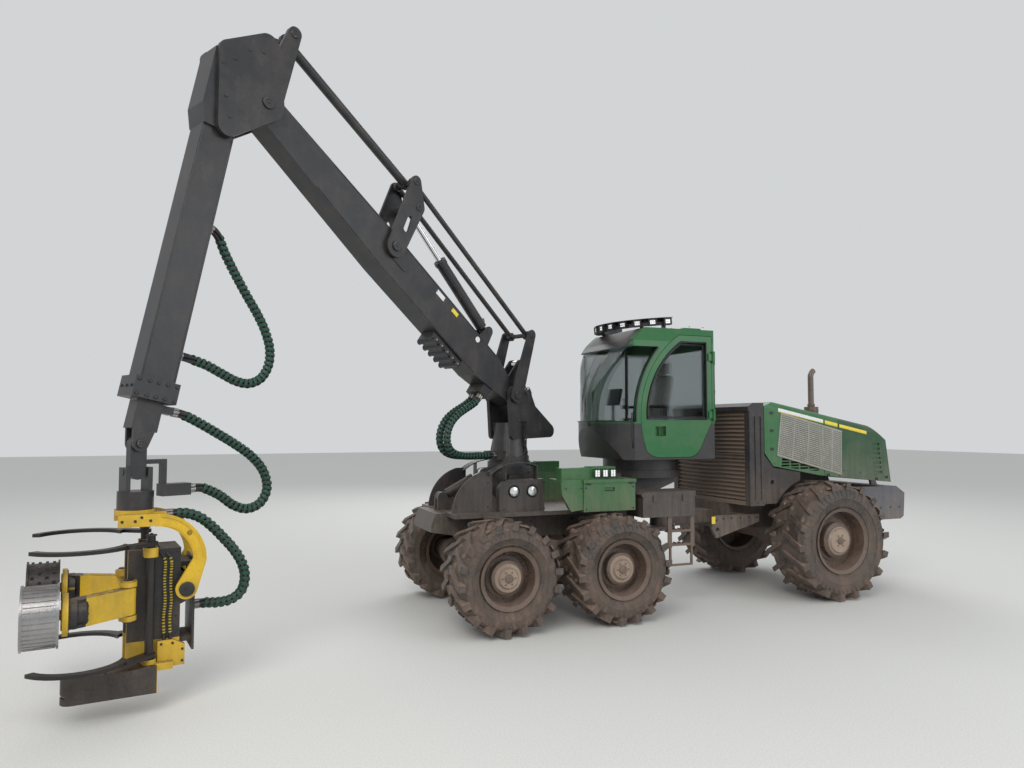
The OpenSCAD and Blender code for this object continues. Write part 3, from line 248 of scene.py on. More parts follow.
GREEN = (0.005, 0.125, 0.026)
SOOT = (0.017, 0.018, 0.021)
CHROME_YELLOW = (0.72, 0.46, 0.02)
OILY = (0.14, 0.10, 0.07)
DUST = (0.30, 0.23, 0.18)
MUD = (0.21, 0.150, 0.118)
MATERIALS = {
    "charcoal_paint": worn("charcoal_paint", SOOT, DUST, 0.38, mud=0.45, dirt=0.14, bump=0.2),
    "green_paint": worn("green_paint", GREEN, DUST, 0.42, mud=0.5, mud_low=1.2, mud_high=2.0, dirt=0.14,
                        coat=0.15, bump=0.12),
    "yellow_paint": worn("yellow_paint", CHROME_YELLOW, OILY, 0.42, mud=0.45, mud_low=0.1,
                         mud_high=0.9, dirt=0.6, bump=0.3, grain=6.0),
    "mud": worn("mud", (0.13, 0.095, 0.075), MUD, 0.8, mud=0.9, mud_low=0.2, mud_high=1.3, dirt=0.8,
                bump=0.8),
    "bare_steel": worn("bare_steel", (0.35, 0.34, 0.33), OILY, 0.35, 0.9, mud=0.2, dirt=0.5, bump=0.4),
    "chrome_rod": worn("chrome_rod", (0.75, 0.75, 0.76), DUST, 0.12, 1.0, mud=0.05, dirt=0.08, bump=0.03),
    "tyre_rubber": worn("tyre_rubber", (0.045, 0.038, 0.033), MUD, 0.8, mud=0.55, mud_low=0.0, mud_high=1.5,
                        dirt=0.75, bump=0.9, grain=14.0),
    "hose_rubber": worn("hose_rubber", (0.012, 0.014, 0.015), DUST, 0.4, mud=0.1, dirt=0.1, bump=0.2),
    "cast_engine": worn("cast_engine", (0.06, 0.06, 0.06), DUST, 0.6, 0.4, mud=0.2, dirt=0.4, bump=0.4),
    "seat_cloth": worn("seat_cloth", (0.45, 0.43, 0.40), DUST, 0.8, mud=0.0, dirt=0.1, bump=0.3, grain=30.0),
}


def tinted_glass():
    material, bsdf, add, link = shader("glass_tint")
    smudge = noise(add, 6.0, 6.0).outputs["Fac"]
    link(ramp(add, smudge, 0.1, 8.0), "Roughness")
    bsdf.inputs["Base Color"].default_value = (0.26, 0.30, 0.30, 1)
    bsdf.inputs["Transmission Weight"].default_value = 1.0
    bsdf.inputs["IOR"].default_value = 1.1
    bsdf.inputs["Alpha"].default_value = 0.6
    return material


MATERIALS["glass_tint"] = tinted_glass()


def plain(name, base, rough=0.5, metallic=0.0, glow=0.0, grain=25.0, bump=0.1):
    """A simple surface with a little unevenness in its colour, gloss and relief."""
    material, bsdf, add, link = shader(name)
    spots = noise(add, grain, 5.0).outputs["Fac"]
    dark, bright = colour([v * 0.75 for v in base]), colour([min(1, v * 1.2) for v in base])
    link(mixed(add, spots, dark, bright), "Base Color")
    link(add("ShaderNodeMapRange", {"Value": spots, "To Min": rough * 0.8, "To Max": rough * 1.2}).outputs[0],
         "Roughness")
    link(add("ShaderNodeBump", {"Height": spots, "Strength": bump, "Distance": 0.004}).outputs[0], "Normal")
    bsdf.inputs["Metallic"].default_value = metallic
    if glow:
        bsdf.inputs["Emission Color"].default_value = colour(base)
        bsdf.inputs["Emission Strength"].default_value = glow
    return material


BLACK = plain("black_plastic", (0.02, 0.02, 0.022), 0.45)
LENS = plain("lamp_lens", (0.75, 0.77, 0.78), 0.1, 0.6)
STRIPE = plain("yellow_stripe", (0.80, 0.62, 0.05), 0.35)
GUARD = plain("spiral_guard", (0.008, 0.055, 0.034), 0.5)
YELLOW_GUARD = plain("yellow_guard", (0.45, 0.34, 0.035), 0.55)
SCREEN = plain("screen", (0.03, 0.05, 0.08), 0.15)
PLATE = plain("blank_plate", (0.72, 0.73, 0.74), 0.4)
MESH_DUST = worn("dusty_mesh", (0.34, 0.33, 0.30), (0.42, 0.38, 0.32), 0.7, mud=0.1, dirt=0.5, bump=0.5)
BRIGHT = plain("lamp_chip", (0.93, 0.94, 0.95), 0.08, 0.5, glow=0.25)
RED_LENS = plain("red_lens", (0.45, 0.02, 0.02), 0.15)
LINING = plain("door_lining", (0.06, 0.06, 0.065), 0.7)

for item in frame["record"]["subparts"]:
    node = NODES[item["node"]]
    node.data.materials.clear()
    node.data.materials.append(MATERIALS[item["material_slot"]])
BACK = MACHINE.translation.x
CAB_BLACK = (0.016, 0.017, 0.019)
TWO_TONE = {
    "cab_shell": worn("shell_paint", GREEN, DUST, 0.42, mud=0.2, dirt=0.1, coat=0.15, bump=0.12,
                      other=CAB_BLACK, share=below(2.45)),
    "cab_roof": worn("roof_paint", GREEN, DUST, 0.55, mud=0.0, dirt=0.12, bump=0.12,
                     other=CAB_BLACK, share=within(CAB.translation.x - 0.35, 9.0, 0.6)),
    "rear_frame": worn("rear_paint", SOOT, DUST, 0.5, mud=0.5, dirt=0.25, bump=0.25,
                       other=(0.06, 0.075, 0.10), share=within(-9.0, BACK - 4.95)),
    "cooler": worn("cooler_paint", (0.020, 0.020, 0.022), (0.27, 0.20, 0.155), 0.5, mud=0.6, dirt=0.2,
                   bump=0.25, other=(0.17, 0.125, 0.095), share=within(BACK - 3.092, 9.0, 0.822, 1.3, 2.62)),
    # The hood's rear, behind the seam, takes a darker green: painted shade, not a second paint.
    "hood": worn("hood_paint_and_shade", GREEN, (0.34, 0.29, 0.24), 0.42, mud=0.35, mud_low=1.5, mud_high=2.2,
                 dirt=0.12, coat=0.15, bump=0.12, other=(0.004, 0.055, 0.014),
                 share=within(-9.0, BACK - 4.665)),
}
for hub_name in ("front_left", "front_right", "mid_left", "mid_right", "rear_left", "rear_right"):
    hub_r = 0.19 if "rear" in hub_name else 0.165
    TWO_TONE["rim_" + hub_name] = worn("rim_mud_" + hub_name, (0.115, 0.08, 0.062), MUD, 0.8, mud=0.4,
                                       mud_low=0.1, mud_high=1.2, dirt=0.6, bump=0.7,
                                       other=(0.33, 0.25, 0.19),
                                       share=round_about(centre("rim_" + hub_name), hub_r))
YELLOW_LOOK = {"base": CHROME_YELLOW, "dust": OILY, "rough": 0.42, "mud": 0.35, "mud_low": 0.1,
               "mud_high": 0.9, "dirt": 0.55, "bump": 0.3, "grain": 6.0, "other": (0.014, 0.015, 0.017)}
TWO_TONE["head_body"] = worn("head_paint", share=boxes(GRIP, [
    ((-165, 600), (100, 500), (100, 396)), ((-362, 60), (-221, 221), (575, 1400)),
    ((-490, -361), (-230, 230), (400, 1300))]), **YELLOW_LOOK)
for hand, side in (("left", 1), ("right", -1)):
    reach = sorted((side * 480, side * 730))
    TWO_TONE["arm_" + hand] = worn("arm_paint_" + hand, share=boxes(GRIP, [((376, 499), reach, (820, 1080))]),
                                   **YELLOW_LOOK)
    TWO_TONE["knife_" + hand] = worn("knife_steel_" + hand, (0.035, 0.035, 0.038), (0.10, 0.075, 0.055), 0.32,
                                     0.6, mud=0.1, dirt=0.3, bump=0.25)
TWO_TONE["roller_left"] = worn("smooth_steel", (0.42, 0.42, 0.43), (0.16, 0.13, 0.10), 0.22, 0.95,
                               mud=0.05, dirt=0.25, bump=0.15)
TWO_TONE["roller_right"] = worn("studded_steel", (0.03, 0.03, 0.033), (0.12, 0.09, 0.07), 0.3, 0.7,
                                mud=0.1, dirt=0.3, bump=0.25)
for name, paint in TWO_TONE.items():
    NODES[name].data.materials[0] = paint


# Floor, light and camera
def area_light(name, place, target, size, power, tint=(1, 1, 1)):
    data = bpy.data.lights.new(name, "AREA")
    data.shape = "RECTANGLE"
    data.size = size[0]
    data.size_y = size[1]
    data.energy = power
    data.color = tint
    light = bpy.data.objects.new(name, data)
    bpy.context.scene.collection.objects.link(light)
    light.location = place
    light.rotation_euler = (Vector(target) - Vector(place)).to_track_quat("-Z", "Y").to_euler()


def studio():
    bpy.ops.mesh.primitive_plane_add(size=120, location=(0, 0, -0.001))
    floor = bpy.context.object
    floor.name = "floor"
    floor.data.materials.append(plain("floor_paint", (0.66, 0.66, 0.64), 0.9, grain=60.0, bump=0.0))
    world = bpy.data.worlds.new("studio")
    bpy.context.scene.world = world
    world.use_nodes = True
    sky = world.node_tree.nodes["Background"]
    sky.inputs[0].default_value = (0.86, 0.88, 0.90, 1)
    sky.inputs[1].default_value = 0.75
    area_light("key", (9, 12, 13), (0, -0.5, 1.5), (9, 9), 1500, (1.0, 0.97, 0.92))
    area_light("fill", (-10, 13, 7), (-2, -0.5, 1.5), (10, 8), 600, (0.93, 0.96, 1.0))
    area_light("back", (-6, -14, 12), (0, 0, 2.5), (12, 8), 900)


def camera():
    """The photograph's camera, fitted to the places and rims of the wheels."""
    yaw, pitch = 0.386339, 0.0530254
    photo_width, focal_length, sensor = 1024.0, 773.0, 36.0
    look = Vector((-math.sin(yaw) * math.cos(pitch), -math.cos(yaw) * math.cos(pitch), math.sin(pitch)))
    data = bpy.data.cameras.new("camera")
    data.sensor_width = sensor
    data.lens = focal_length / photo_width * sensor
    data.clip_end = 300
    cam = bpy.data.objects.new("camera", data)
    bpy.context.scene.collection.objects.link(cam)
    cam.location = (BOGIE_X + 4.105687, CENTRE_Y + 9.710502, 2.429195)
    cam.rotation_euler = look.to_track_quat("-Z", "Y").to_euler()
    bpy.context.scene.camera = cam
    bpy.context.scene.view_settings.view_transform = "Standard"


studio()
camera()


# Mesh code shared by the fine pieces, with places in millimetres and meshes in metres
class Shape:
    """Faces gathered from many small forms, made into one piece at the end."""

    def __init__(self):
        self.verts = []
        self.faces = []
        self.looks = []

    def add(self, form, place=None, look=0):
        verts, faces = form
        start = len(self.verts)
        place = place or Matrix()
        self.verts += [place @ Vector(v) for v in verts]
        self.faces += [[start + i for i in face] for face in faces]
        self.looks += [look] * len(faces)


def piece(name, shape, looks, body, sharp=35):
    """Makes the gathered faces into one object that rides on a body."""
    mesh = bpy.data.meshes.new(name)
    mesh.from_pydata([tuple(v) for v in shape.verts], [], shape.faces)
    for look in looks:
        mesh.materials.append(look)
    mesh.polygons.foreach_set("material_index", shape.looks)
    mesh.update()
    cleaner = bmesh.new()
    cleaner.from_mesh(mesh)
    bmesh.ops.recalc_face_normals(cleaner, faces=cleaner.faces)
    cleaner.to_mesh(mesh)
    cleaner.free()
    mesh.shade_smooth()
    mesh.set_sharp_from_angle(angle=math.radians(sharp))
    thing = bpy.data.objects.new(name, mesh)
    bpy.context.scene.collection.objects.link(thing)
    if body:
        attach(thing, body)
    return thing


def lathe(profile, steps=24):
    """Revolves (radius, height) points in millimetres about Z."""
    verts, faces, rows = [], [], []
    for r, z in profile:
        if r < 1e-6:
            rows.append([len(verts)] * steps)
            verts.append((0, 0, z / 1000))
            continue
        rows.append(list(range(len(verts), len(verts) + steps)))
        for k in range(steps):
            a = math.tau * k / steps
            verts.append((r * math.cos(a) / 1000, r * math.sin(a) / 1000, z / 1000))
    for low, high in zip(rows, rows[1:]):
        for k in range(steps):
            n = (k + 1) % steps
            face = list(dict.fromkeys([low[k], low[n], high[n], high[k]]))
            if len(face) > 2:
                faces.append(face)
    return verts, faces


def disc(r, h):
    return lathe([(0, 0), (r, 0), (r, h - 3), (r - 3, h), (0, h)])


def bolt(r):
    """A washer under a six-sided head."""
    washer = lathe([(0, 0), (r * 1.25, 0), (r * 1.25, r * 0.18), (r, r * 0.25), (0, r * 0.25)], 12)
    head = lathe([(r * 0.98, r * 0.2), (r * 0.98, r * 0.8), (r * 0.85, r * 0.95), (0, r * 0.95)], 6)
    start = len(washer[0])
    return washer[0] + head[0], washer[1] + [[start + i for i in face] for face in head[1]]


def block(x, y, z, bevel=3):
    """A box about the origin with chamfered edges; sizes in millimetres."""
    verts, faces = [], []
    half = Vector((x, y, z)) / 2000
    cut = min(bevel / 1000, min(half) * 0.45)
    index = {}
    for sx in (-1, 1):
        for sy in (-1, 1):
            for sz in (-1, 1):
                corner = Vector((sx * half.x, sy * half.y, sz * half.z))
                for axis in range(3):
                    point = corner.copy()
                    for other in range(3):
                        if other != axis:
                            point[other] -= math.copysign(cut, point[other])
                    index[(sx, sy, sz, axis)] = len(verts)
                    verts.append(tuple(point))
                faces.append([index[(sx, sy, sz, axis)] for axis in range(3)])
    signs = (-1, 1)
    loop = ((-1, -1), (1, -1), (1, 1), (-1, 1))
    for axis in range(3):
        one, two = [other for other in range(3) if other != axis]

        def key(values, kind):
            return index[(values[0], values[1], values[2], kind)]

        for s in signs:
            face = []
            for p, q in loop:
                values = [0, 0, 0]
                values[axis], values[one], values[two] = s, p, q
                face.append(key(values, axis))
            faces.append(face)
        # Chamfers along this axis
        for p, q in loop:
            face = []
            for s, kind in ((-1, one), (1, one), (1, two), (-1, two)):
                values = [0, 0, 0]
                values[axis], values[one], values[two] = s, p, q
                face.append(key(values, kind))
            faces.append(face)
    return verts, faces


def slab(outline, t, bevel=2):
    """A plate of one outline in millimetres in X and Z, t thick about Y, its edges eased."""
    middle = Vector((sum(p[0] for p in outline), sum(p[1] for p in outline))) / len(outline)
    verts, faces, rows = [], [], []
    for y, pull in ((-t / 2, bevel), (-t / 2 + bevel, 0), (t / 2 - bevel, 0), (t / 2, bevel)):
        rows.append(list(range(len(verts), len(verts) + len(outline))))
        for p in outline:
            point = Vector(p)
            away = (point - middle)
            point -= away.normalized() * min(pull, away.length * 0.3)
            verts.append((point.x / 1000, y / 1000, point.y / 1000))
    n = len(outline)
    for low, high in zip(rows, rows[1:]):
        for k in range(n):
            faces.append([low[k], low[(k + 1) % n], high[(k + 1) % n], high[k]])
    faces += [rows[0][::-1], rows[-1]]
    return verts, faces


def frames_along(points, closed=False):
    """Directions along, across and up at each point of a line, with no sudden twist."""
    found = []
    up = Vector((0, 0, 1))
    last = len(points) - 1
    for i, p in enumerate(points):
        a = points[i - 1] if i or closed else points[0]
        b = points[(i + 1) % len(points)] if i < last or closed else points[last]
        along = (b - a).normalized()
        side = along.cross(up)
        if side.length < 0.05:
            side = found[-1][1] if found else along.cross(Vector((0, 1, 0)))
        side = (side - along * side.dot(along)).normalized()
        up = side.cross(along)
        found.append((along, side, up))
    return found


def sweep(points, section, closed=False):
    """Carries a closed section, in millimetres across and up, along points in metres."""
    points = [Vector(p) for p in points]
    verts, faces = [], []
    n = len(section)
    for p, (along, side, up) in zip(points, frames_along(points, closed)):
        verts += [tuple(p + side * (u / 1000) + up * (v / 1000)) for u, v in section]
    rows = len(points)
    for i in range(rows if closed else rows - 1):
        a, b = i * n, ((i + 1) % rows) * n
        faces += [[a + k, a + (k + 1) % n, b + (k + 1) % n, b + k] for k in range(n)]
    if not closed:
        faces += [list(range(n))[::-1], [(rows - 1) * n + k for k in range(n)]]
    return verts, faces


def circle(r, sides=10):
    return [(r * math.cos(math.tau * k / sides), r * math.sin(math.tau * k / sides)) for k in range(sides)]


def band(w, t):
    return [(-w / 2, -t / 2), (w / 2, -t / 2), (w / 2, t / 2 - 1), (w / 2 - 1, t / 2), (1 - w / 2, t / 2),
            (-w / 2, t / 2 - 1)]


def smooth(points, step):
    """Points in metres along a soft curve through the given ones, about step apart."""
    points = [Vector(p) for p in points]
    fine = []
    for i in range(len(points) - 1):
        a, b, c, d = points[max(i - 1, 0)], points[i], points[i + 1], points[min(i + 2, len(points) - 1)]
        count = max(1, round((c - b).length / step))
        for k in range(count):
            t = k / count
            fine.append(0.5 * (2 * b + (c - a) * t + (2 * a - 5 * b + 4 * c - d) * t * t
                               + (3 * b - a - 3 * c + d) * t ** 3))
    return fine + [points[-1]]


# Turns about X and about Y that make Z face a way, and the two sides with the way that each faces
FACING = {"x": (0, 90), "-x": (0, -90), "y": (-90, 0), "-y": (90, 0), "z": (0, 0), "-z": (180, 0)}
SIDES = ((-1, "-y"), (1, "y"))


def spot(base, x, y, z, facing="z", spin=0):
    """A place in millimetres in a frame of reference, its Z turned to face a way."""
    about_x, about_y = FACING[facing]
    return base @ moved(x, y, z) @ (rotation(about_y, "Y") @ rotation(about_x, "X") @ rotation(spin, "Z"))


def bolts(shape, base, r, y, out, places):
    """Bolts at places in X and Z on one side."""
    for x, z in places:
        shape.add(bolt(r), spot(base, x, y, z, out))


def line(base, points):
    return [base @ Vector((x / 1000, y / 1000, z / 1000)) for x, y, z in points]


def arc(middle, r, start, end, count):
    """Points in X and Z on a circle, in millimetres."""
    steps = [math.radians(start + (end - start) * k / (count - 1)) for k in range(count)]
    return [(middle[0] + r * math.cos(a), middle[1] + r * math.sin(a)) for a in steps]


# Hoses: bundles of five, wrapped by a spiral guard, along the routes of the free hoses
BASE_ROUTE = [(618.5, 2813.2), (655.3, 2765.6), (710, 2718), (800, 2668), (910, 2615), (1020, 2550),
              (1110, 2470), (1170, 2370), (1190, 2260), (1160, 2155), (1080, 2085), (960, 2050),
              (820, 2037), (660, 2035), (480, 2035), (350.3, 2035)]
UPPER_ROUTE = [(1400, 221.7), (1400, 160), (1450, 85), (1560, 5), (1680, -100), (1800, -215),
               (1920, -335), (2050, -470), (2190, -590), (2350, -680), (2520, -705), (2670, -655),
               (2755, -540), (2765, -400), (2730, -240), (2690, -70), (2677, 100), (2677, 221.7)]
REACH_ROUTE = [(4559.2, 2550.1), (4500.5, 2537.6), (4410, 2510), (4280, 2445), (4110, 2350), (3930, 2245),
               (3750, 2120), (3620, 1970), (3575, 1800), (3640, 1660), (3780, 1605), (3930, 1650),
               (4080, 1760), (4250, 1838), (4384.5, 1840)]
HEAD_ROUTE = [(-250.3, 1630), (-330, 1630), (-440, 1622), (-550, 1575), (-650, 1490), (-745, 1385),
              (-845, 1265), (-920, 1135), (-950, 1000), (-920, 875), (-830, 805), (-710, 790),
              (-600, 800), (-480.3, 800)]


def bundle(name, base, route, y, node, body, far=None):
    """One bundle of hoses with its guard, made in place of the free hose's node, which it hides."""
    path = smooth(line(base, [(r, y, z) for r, z in route]), 0.022)
    ways = frames_along(path)
    gone = [0.0]
    for a, b in zip(path, path[1:]):
        gone.append(gone[-1] + (b - a).length)
    shape = Shape()
    for k in range(5):
        strand = []
        for p, (along, side, up), s in zip(path, ways, gone):
            a = math.tau * k / 5 + s * 2.4
            strand.append(p + (side * math.cos(a) + up * math.sin(a)) * 0.027)
        shape.add(sweep(strand, circle(15.5, 8)), look=0)
        for end, step in ((strand[0], strand[3]), (strand[-1], strand[-4])):
            cuff = [end + (step - end) * t for t in (0.0, 0.5, 1.0)]
            shape.add(sweep(cuff, circle(18.5, 10)), look=2)
    # The guard's flat strip, wound round the bundle
    coil = []
    low, high = gone[-1] * 0.06, gone[-1] * 0.94
    i, s = 0, low
    while s < high:
        while gone[i + 1] < s:
            i += 1
        t = (s - gone[i]) / (gone[i + 1] - gone[i])
        along, side, up = ways[i]
        p = path[i] + (path[i + 1] - path[i]) * t
        a = s / 0.052 * math.tau
        out = side * math.cos(a) + up * math.sin(a)
        coil.append((p, out, along))
        s += 0.0036
    verts, faces = [], []
    # How far the strip's six edges lie from the middle line and along it, in metres
    edges = ((0.0435, -0.013), (0.0435, 0.013), (0.0465, 0.016), (0.0485, 0.010), (0.0485, -0.010),
             (0.0465, -0.016))
    for p, out, along in coil:
        for lift, shift in edges:
            verts.append(tuple(p + out * lift + along * shift))
    for r in range(len(coil) - 1):
        faces += [[r * 6 + k, r * 6 + (k + 1) % 6, r * 6 + 6 + (k + 1) % 6, r * 6 + 6 + k] for k in range(6)]
    faces += [[5, 4, 3, 2, 1, 0], [len(coil) * 6 - 6 + k for k in range(6)]]
    shape.add((verts, faces), look=1)
    looks = [MATERIALS["hose_rubber"], GUARD, MATERIALS["bare_steel"]]
    hose = piece(name, shape, looks, None if far else body)
    if far:
        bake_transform(hose)
    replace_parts(hose, node)


def point(base, x, y, z):
    return tuple(base @ Vector((x / 1000, y / 1000, z / 1000)))


for side, label in ((1, "left"), (-1, "right")):
    bundle("base_hose_" + label, CRANE, BASE_ROUTE, 68 * side, "base_hoses", None,
           ("boom_body", "pillar", point(CRANE, 618.5, 0, 2813), point(CRANE, 480, 0, 2035)))
bundle("upper_hose_bundle", JIB, UPPER_ROUTE, 0, "upper_hose", "jib_body")
bundle("reach_hose_bundle", CRANE, REACH_ROUTE, 0, "reach_hose", None,
       ("extension_body", "link", point(CRANE, 4500, 0, 2537), point(CRANE, 4250, 0, 1838)))
bundle("head_hose_bundle", GRIP, HEAD_ROUTE, 0, "head_hose", None,
       ("head_hanger", "head", point(GRIP, -330, 0, 1630), point(GRIP, -600, 0, 800)))


# Wheels: nuts, hub caps, sidewall bars and rings, and mud pressed between the lugs
def wheel_trim(label, big):
    side = 1 if label.endswith("left") else -1
    hub = centre("rim_" + label)
    middle_y = CENTRE_Y + side * HALF_TRACK
    base = Matrix.Translation((hub.x, middle_y, hub.z))
    out = "y" if side > 0 else "-y"
    tyre_r, rim_r = (820, 450) if big else (665, 360)
    tread_r = tyre_r - 45
    wall_r = rim_r + (tread_r - rim_r) * 0.45
    shape = Shape()
    nut_r = 285 if big else 262
    stud = lathe([(8, 0), (8, 26), (6, 29), (0, 29)], 10)
    for k, (x, z) in enumerate(circle(nut_r, 12)):
        shape.add(bolt(15), spot(base, x, side * 92, z, out, k * 17))
        shape.add(stud, spot(base, x, side * 92, z, out))
    for k, (x, z) in enumerate(circle(78, 6)):
        shape.add(bolt(9), spot(base, x, side * 250, z, out, k * 23))
    shape.add(lathe([(0, 0), (48, 0), (52, 4), (50, 12), (36, 18), (12, 20), (0, 20)], 24),
              spot(base, 0, side * 249, 0, out))
    piece("wheel_nuts_" + label, shape, [MATERIALS["mud"]], "wheel_" + label)

    shape = Shape()
    half = 350
    # Rings and slanted bars on both walls of the tyre
    for wall in (-1, 1):
        face = "y" if wall > 0 else "-y"
        for r, y in ((rim_r + 36, half - 58), (wall_r - 6, half - 14)):
            ring = lathe([(r - 7, -3), (r - 6, 3), (r + 4, 5), (r + 7, -3)], 96)
            shape.add(ring, spot(base, 0, wall * y, 0, face))
        for k in range(54):
            a = math.tau * (k + 0.3 * random.random()) / 54
            r = (wall_r + tread_r - 66) / 2
            length = tread_r - 66 - wall_r
            bar = block(length, 12, 7 + 3 * random.random(), 2)
            tilt = Matrix.Rotation(-a * wall, 4, "Z") @ Matrix.Rotation(0.22, 4, "Z")
            place = spot(base, r * math.cos(a), wall * (half - 17), r * math.sin(a), face)
            shape.add(bar, place @ tilt)
    # Lumps of mud between the lugs
    for k in range(72):
        a = math.tau * (k + random.random()) / 72
        y = random.uniform(-290, 290)
        size = random.uniform(28, 60)
        peak = 14 + 8 * random.random()
        lump = lathe([(0, -6), (size, -5), (size * 0.8, 9), (size * 0.4, peak), (0, 16)], 7)
        place = base @ Matrix.Rotation(-a, 4, "Y") @ moved(tread_r - 4, y, 0)
        place = place @ Matrix.Rotation(math.pi / 2, 4, "Y") @ Matrix.Rotation(random.random() * 3, 4, "Z")
        shape.add(lump, place @ Matrix.Diagonal((1, random.uniform(0.7, 1.5), 1, 1)), 1)
    piece("tyre_walls_" + label, shape, [MATERIALS["tyre_rubber"], MATERIALS["mud"]], "wheel_" + label, 50)


for end in ("front", "mid", "rear"):
    for hand in ("left", "right"):
        wheel_trim(f"{end}_{hand}", end == "rear")


# Cab: window seals
def closed_seal(name, outline, y, body):
    shape = Shape()
    shape.add(sweep(line(CAB, [(x, y, z) for x, z in outline]), band(34, 12)[::-1], True))
    piece(name, shape, [BLACK], body)


def arched(left, low, high, centre_at, r, step=14):
    """A window's outline: straight at the rear, foot and top, and arched in front."""
    a0 = math.degrees(math.asin((low - centre_at[1]) / r))
    a1 = math.degrees(math.asin((high - centre_at[1]) / r))
    return [(left, low)] + arc(centre_at, r, a0, a1, step) + [(left, high)]


FRONT_ARC = (-900, 2550)
closed_seal("door_window_seal", arched(-636, 2514, 3576, FRONT_ARC, 1226), 722, "door")
closed_seal("side_window_seal", arched(-626, 2484, 3486, FRONT_ARC, 1206), -722, "cab")


def nose(z, y, inset=0):
    """How far ahead the cab's skin lies at a height and a sideways place, in millimetres."""
    plan = math.sqrt(max(0, (890 - inset) ** 2 - y * y))
    arch = -550 + math.sqrt(max(0, (1460 - inset) ** 2 - (z - 2600) ** 2))
    return min(plan, arch)


def screen_row(z, inset=0, count=33):
    return [(nose(z, y, inset), y, z) for y in [708 - 1416 * k / (count - 1) for k in range(count)]]


shape = Shape()
for z in (2478, 3494):
    shape.add(sweep(line(CAB, screen_row(z, -2)), band(26, 14)))
for y in (722, -722):
    edge = [(x, y, z) for x, z in arc(FRONT_ARC, 1404, -3, 42, 14)]
    shape.add(sweep(line(CAB, edge), band(14, 30)))
piece("windscreen_seal", shape, [BLACK], "cab")

# Dark inner posts behind the windscreen, with a bright edge
shape = Shape()
for a in (46, -46):
    x, y = 832 * math.cos(math.radians(a)), 832 * math.sin(math.radians(a))
    shape.add(sweep(line(CAB, [(x, y, 2450), (x, y, 2900), (x - 2, y, 3440)]), circle(17, 12)))
    edge = [(x - 26, y, 2560), (x - 26, y, 2900), (x - 28, y, 3380)]
    shape.add(sweep(line(CAB, edge), circle(6, 8)), look=1)
piece("windscreen_posts", shape, [BLACK, MATERIALS["chrome_rod"]], "cab")

# Visor under the lamps
shape = Shape()
low, high = screen_row(3505, -6), screen_row(3590, -6)
verts = [tuple(p) for p in line(CAB, low + high + screen_row(3505, -1) + screen_row(3590, -1))]
n = len(low)
faces = []
for k in range(n - 1):
    faces += [[k, k + 1, n + k + 1, n + k], [2 * n + k + 1, 2 * n + k, 3 * n + k, 3 * n + k + 1],
              [k + 1, k, 2 * n + k, 2 * n + k + 1], [n + k, n + k + 1, 3 * n + k + 1, 3 * n + k]]
faces += [[0, n, 3 * n, 2 * n], [n - 1, 3 * n - 1, 4 * n - 1, 2 * n - 1]]
shape.add((verts, faces))
piece("visor", shape, [BLACK], "cab")

# Wiper: motor cap, two arms and a bowed blade
shape = Shape()
shape.add(disc(26, 22), spot(CAB, nose(2440, 90) - 6, 90, 2440, "x"))
shape.add(sweep(line(CAB, [(nose(2440, 90) + 14, 90, 2440), (nose(2640, 40) + 16, 40, 2640),
                           (nose(2900, -60) + 16, -60, 2900)]), circle(6, 8)))
blade = [(nose(2620 + 56 * k, -100 + 6 * k) + 8, -100 + 6 * k, 2620 + 56 * k) for k in range(11)]
shape.add(sweep(line(CAB, blade), band(8, 16)))
piece("wiper", shape, [BLACK], "cab")

# Work lamps: reflector, rim and rows of small light chips in each pocket of the bar
LAMP_BAR = CAB @ Matrix.Translation((-0.13, 0, 3.76 + 0.105)) @ rotation(4, "Y")


def lamp_face(shape, base, w, h, across, up):
    """A flat rectangular lamp that faces Z: its rim, its bright bowl and its chips."""
    dx, dy = w / 2 - 3, h / 2 - 3
    for sx, sy, lx, ly in ((0, dy, w, 6), (0, -dy, w, 6), (dx, 0, 6, h), (-dx, 0, 6, h)):
        shape.add(block(lx, ly, 12, 2), base @ moved(sx, sy, 4), 1)
    shape.add(block(w - 8, h - 8, 5, 2), base)
    for i in range(across):
        for j in range(up):
            x = (i + 0.5) / across * (w - 14) - (w - 14) / 2
            y = (j + 0.5) / up * (h - 14) - (h - 14) / 2
            r = min((w - 14) / across, (h - 14) / up) * 0.42
            cup = lathe([(r, 2), (r, 5), (r * 0.7, 3.6), (r * 0.3, 4.8), (0, 5.4)], 12)
            shape.add(cup, base @ moved(x, y, 0), 2)


shape = Shape()
for k in range(11):
    turned = LAMP_BAR @ rotation(-80 + 16 * k, "Z")
    lamp_face(shape, spot(turned, 758, 0, -4, "x", 90), 84, 70, 3, 2)
    for edge in (-50, 50):
        shape.add(bolt(4), spot(turned, 770, edge, 36, "x"), 1)
piece("work_lamps", shape, [LENS, BLACK, BRIGHT], "cab")

# The bar's cover over the lamps, and its rear wall
shape = Shape()
turns = [math.radians(-86 + 4 * k) for k in range(44)]
for r, z, section in ((700, 49, band(132, 7)), (634, 24, [(-3, -24), (3, -24), (3, 24), (-3, 24)])):
    shape.add(sweep(line(LAMP_BAR, [(r * math.cos(a), r * math.sin(a), z) for a in turns]), section))
piece("lamp_cover", shape, [BLACK], "cab")

# Roof: hatch seams, bolts and an aerial stub
shape = Shape()
for y in (-430, 430):
    shape.add(sweep(line(CAB, [(-690, y, 3812), (-560, y, 3812), (-440, y, 3812)]), circle(6, 8)))
for x in (-680, -450):
    for y in (-600, -200, 200, 600):
        shape.add(bolt(9), spot(CAB, x, y, 3809, "z"))
shape.add(disc(30, 26), spot(CAB, -560, 0, 3809, "z"))
shape.add(lathe([(0, 20), (9, 20), (6, 60), (4, 66), (0, 66)], 12), spot(CAB, -560, 0, 3809, "z"))
piece("roof_trim", shape, [BLACK], "cab")


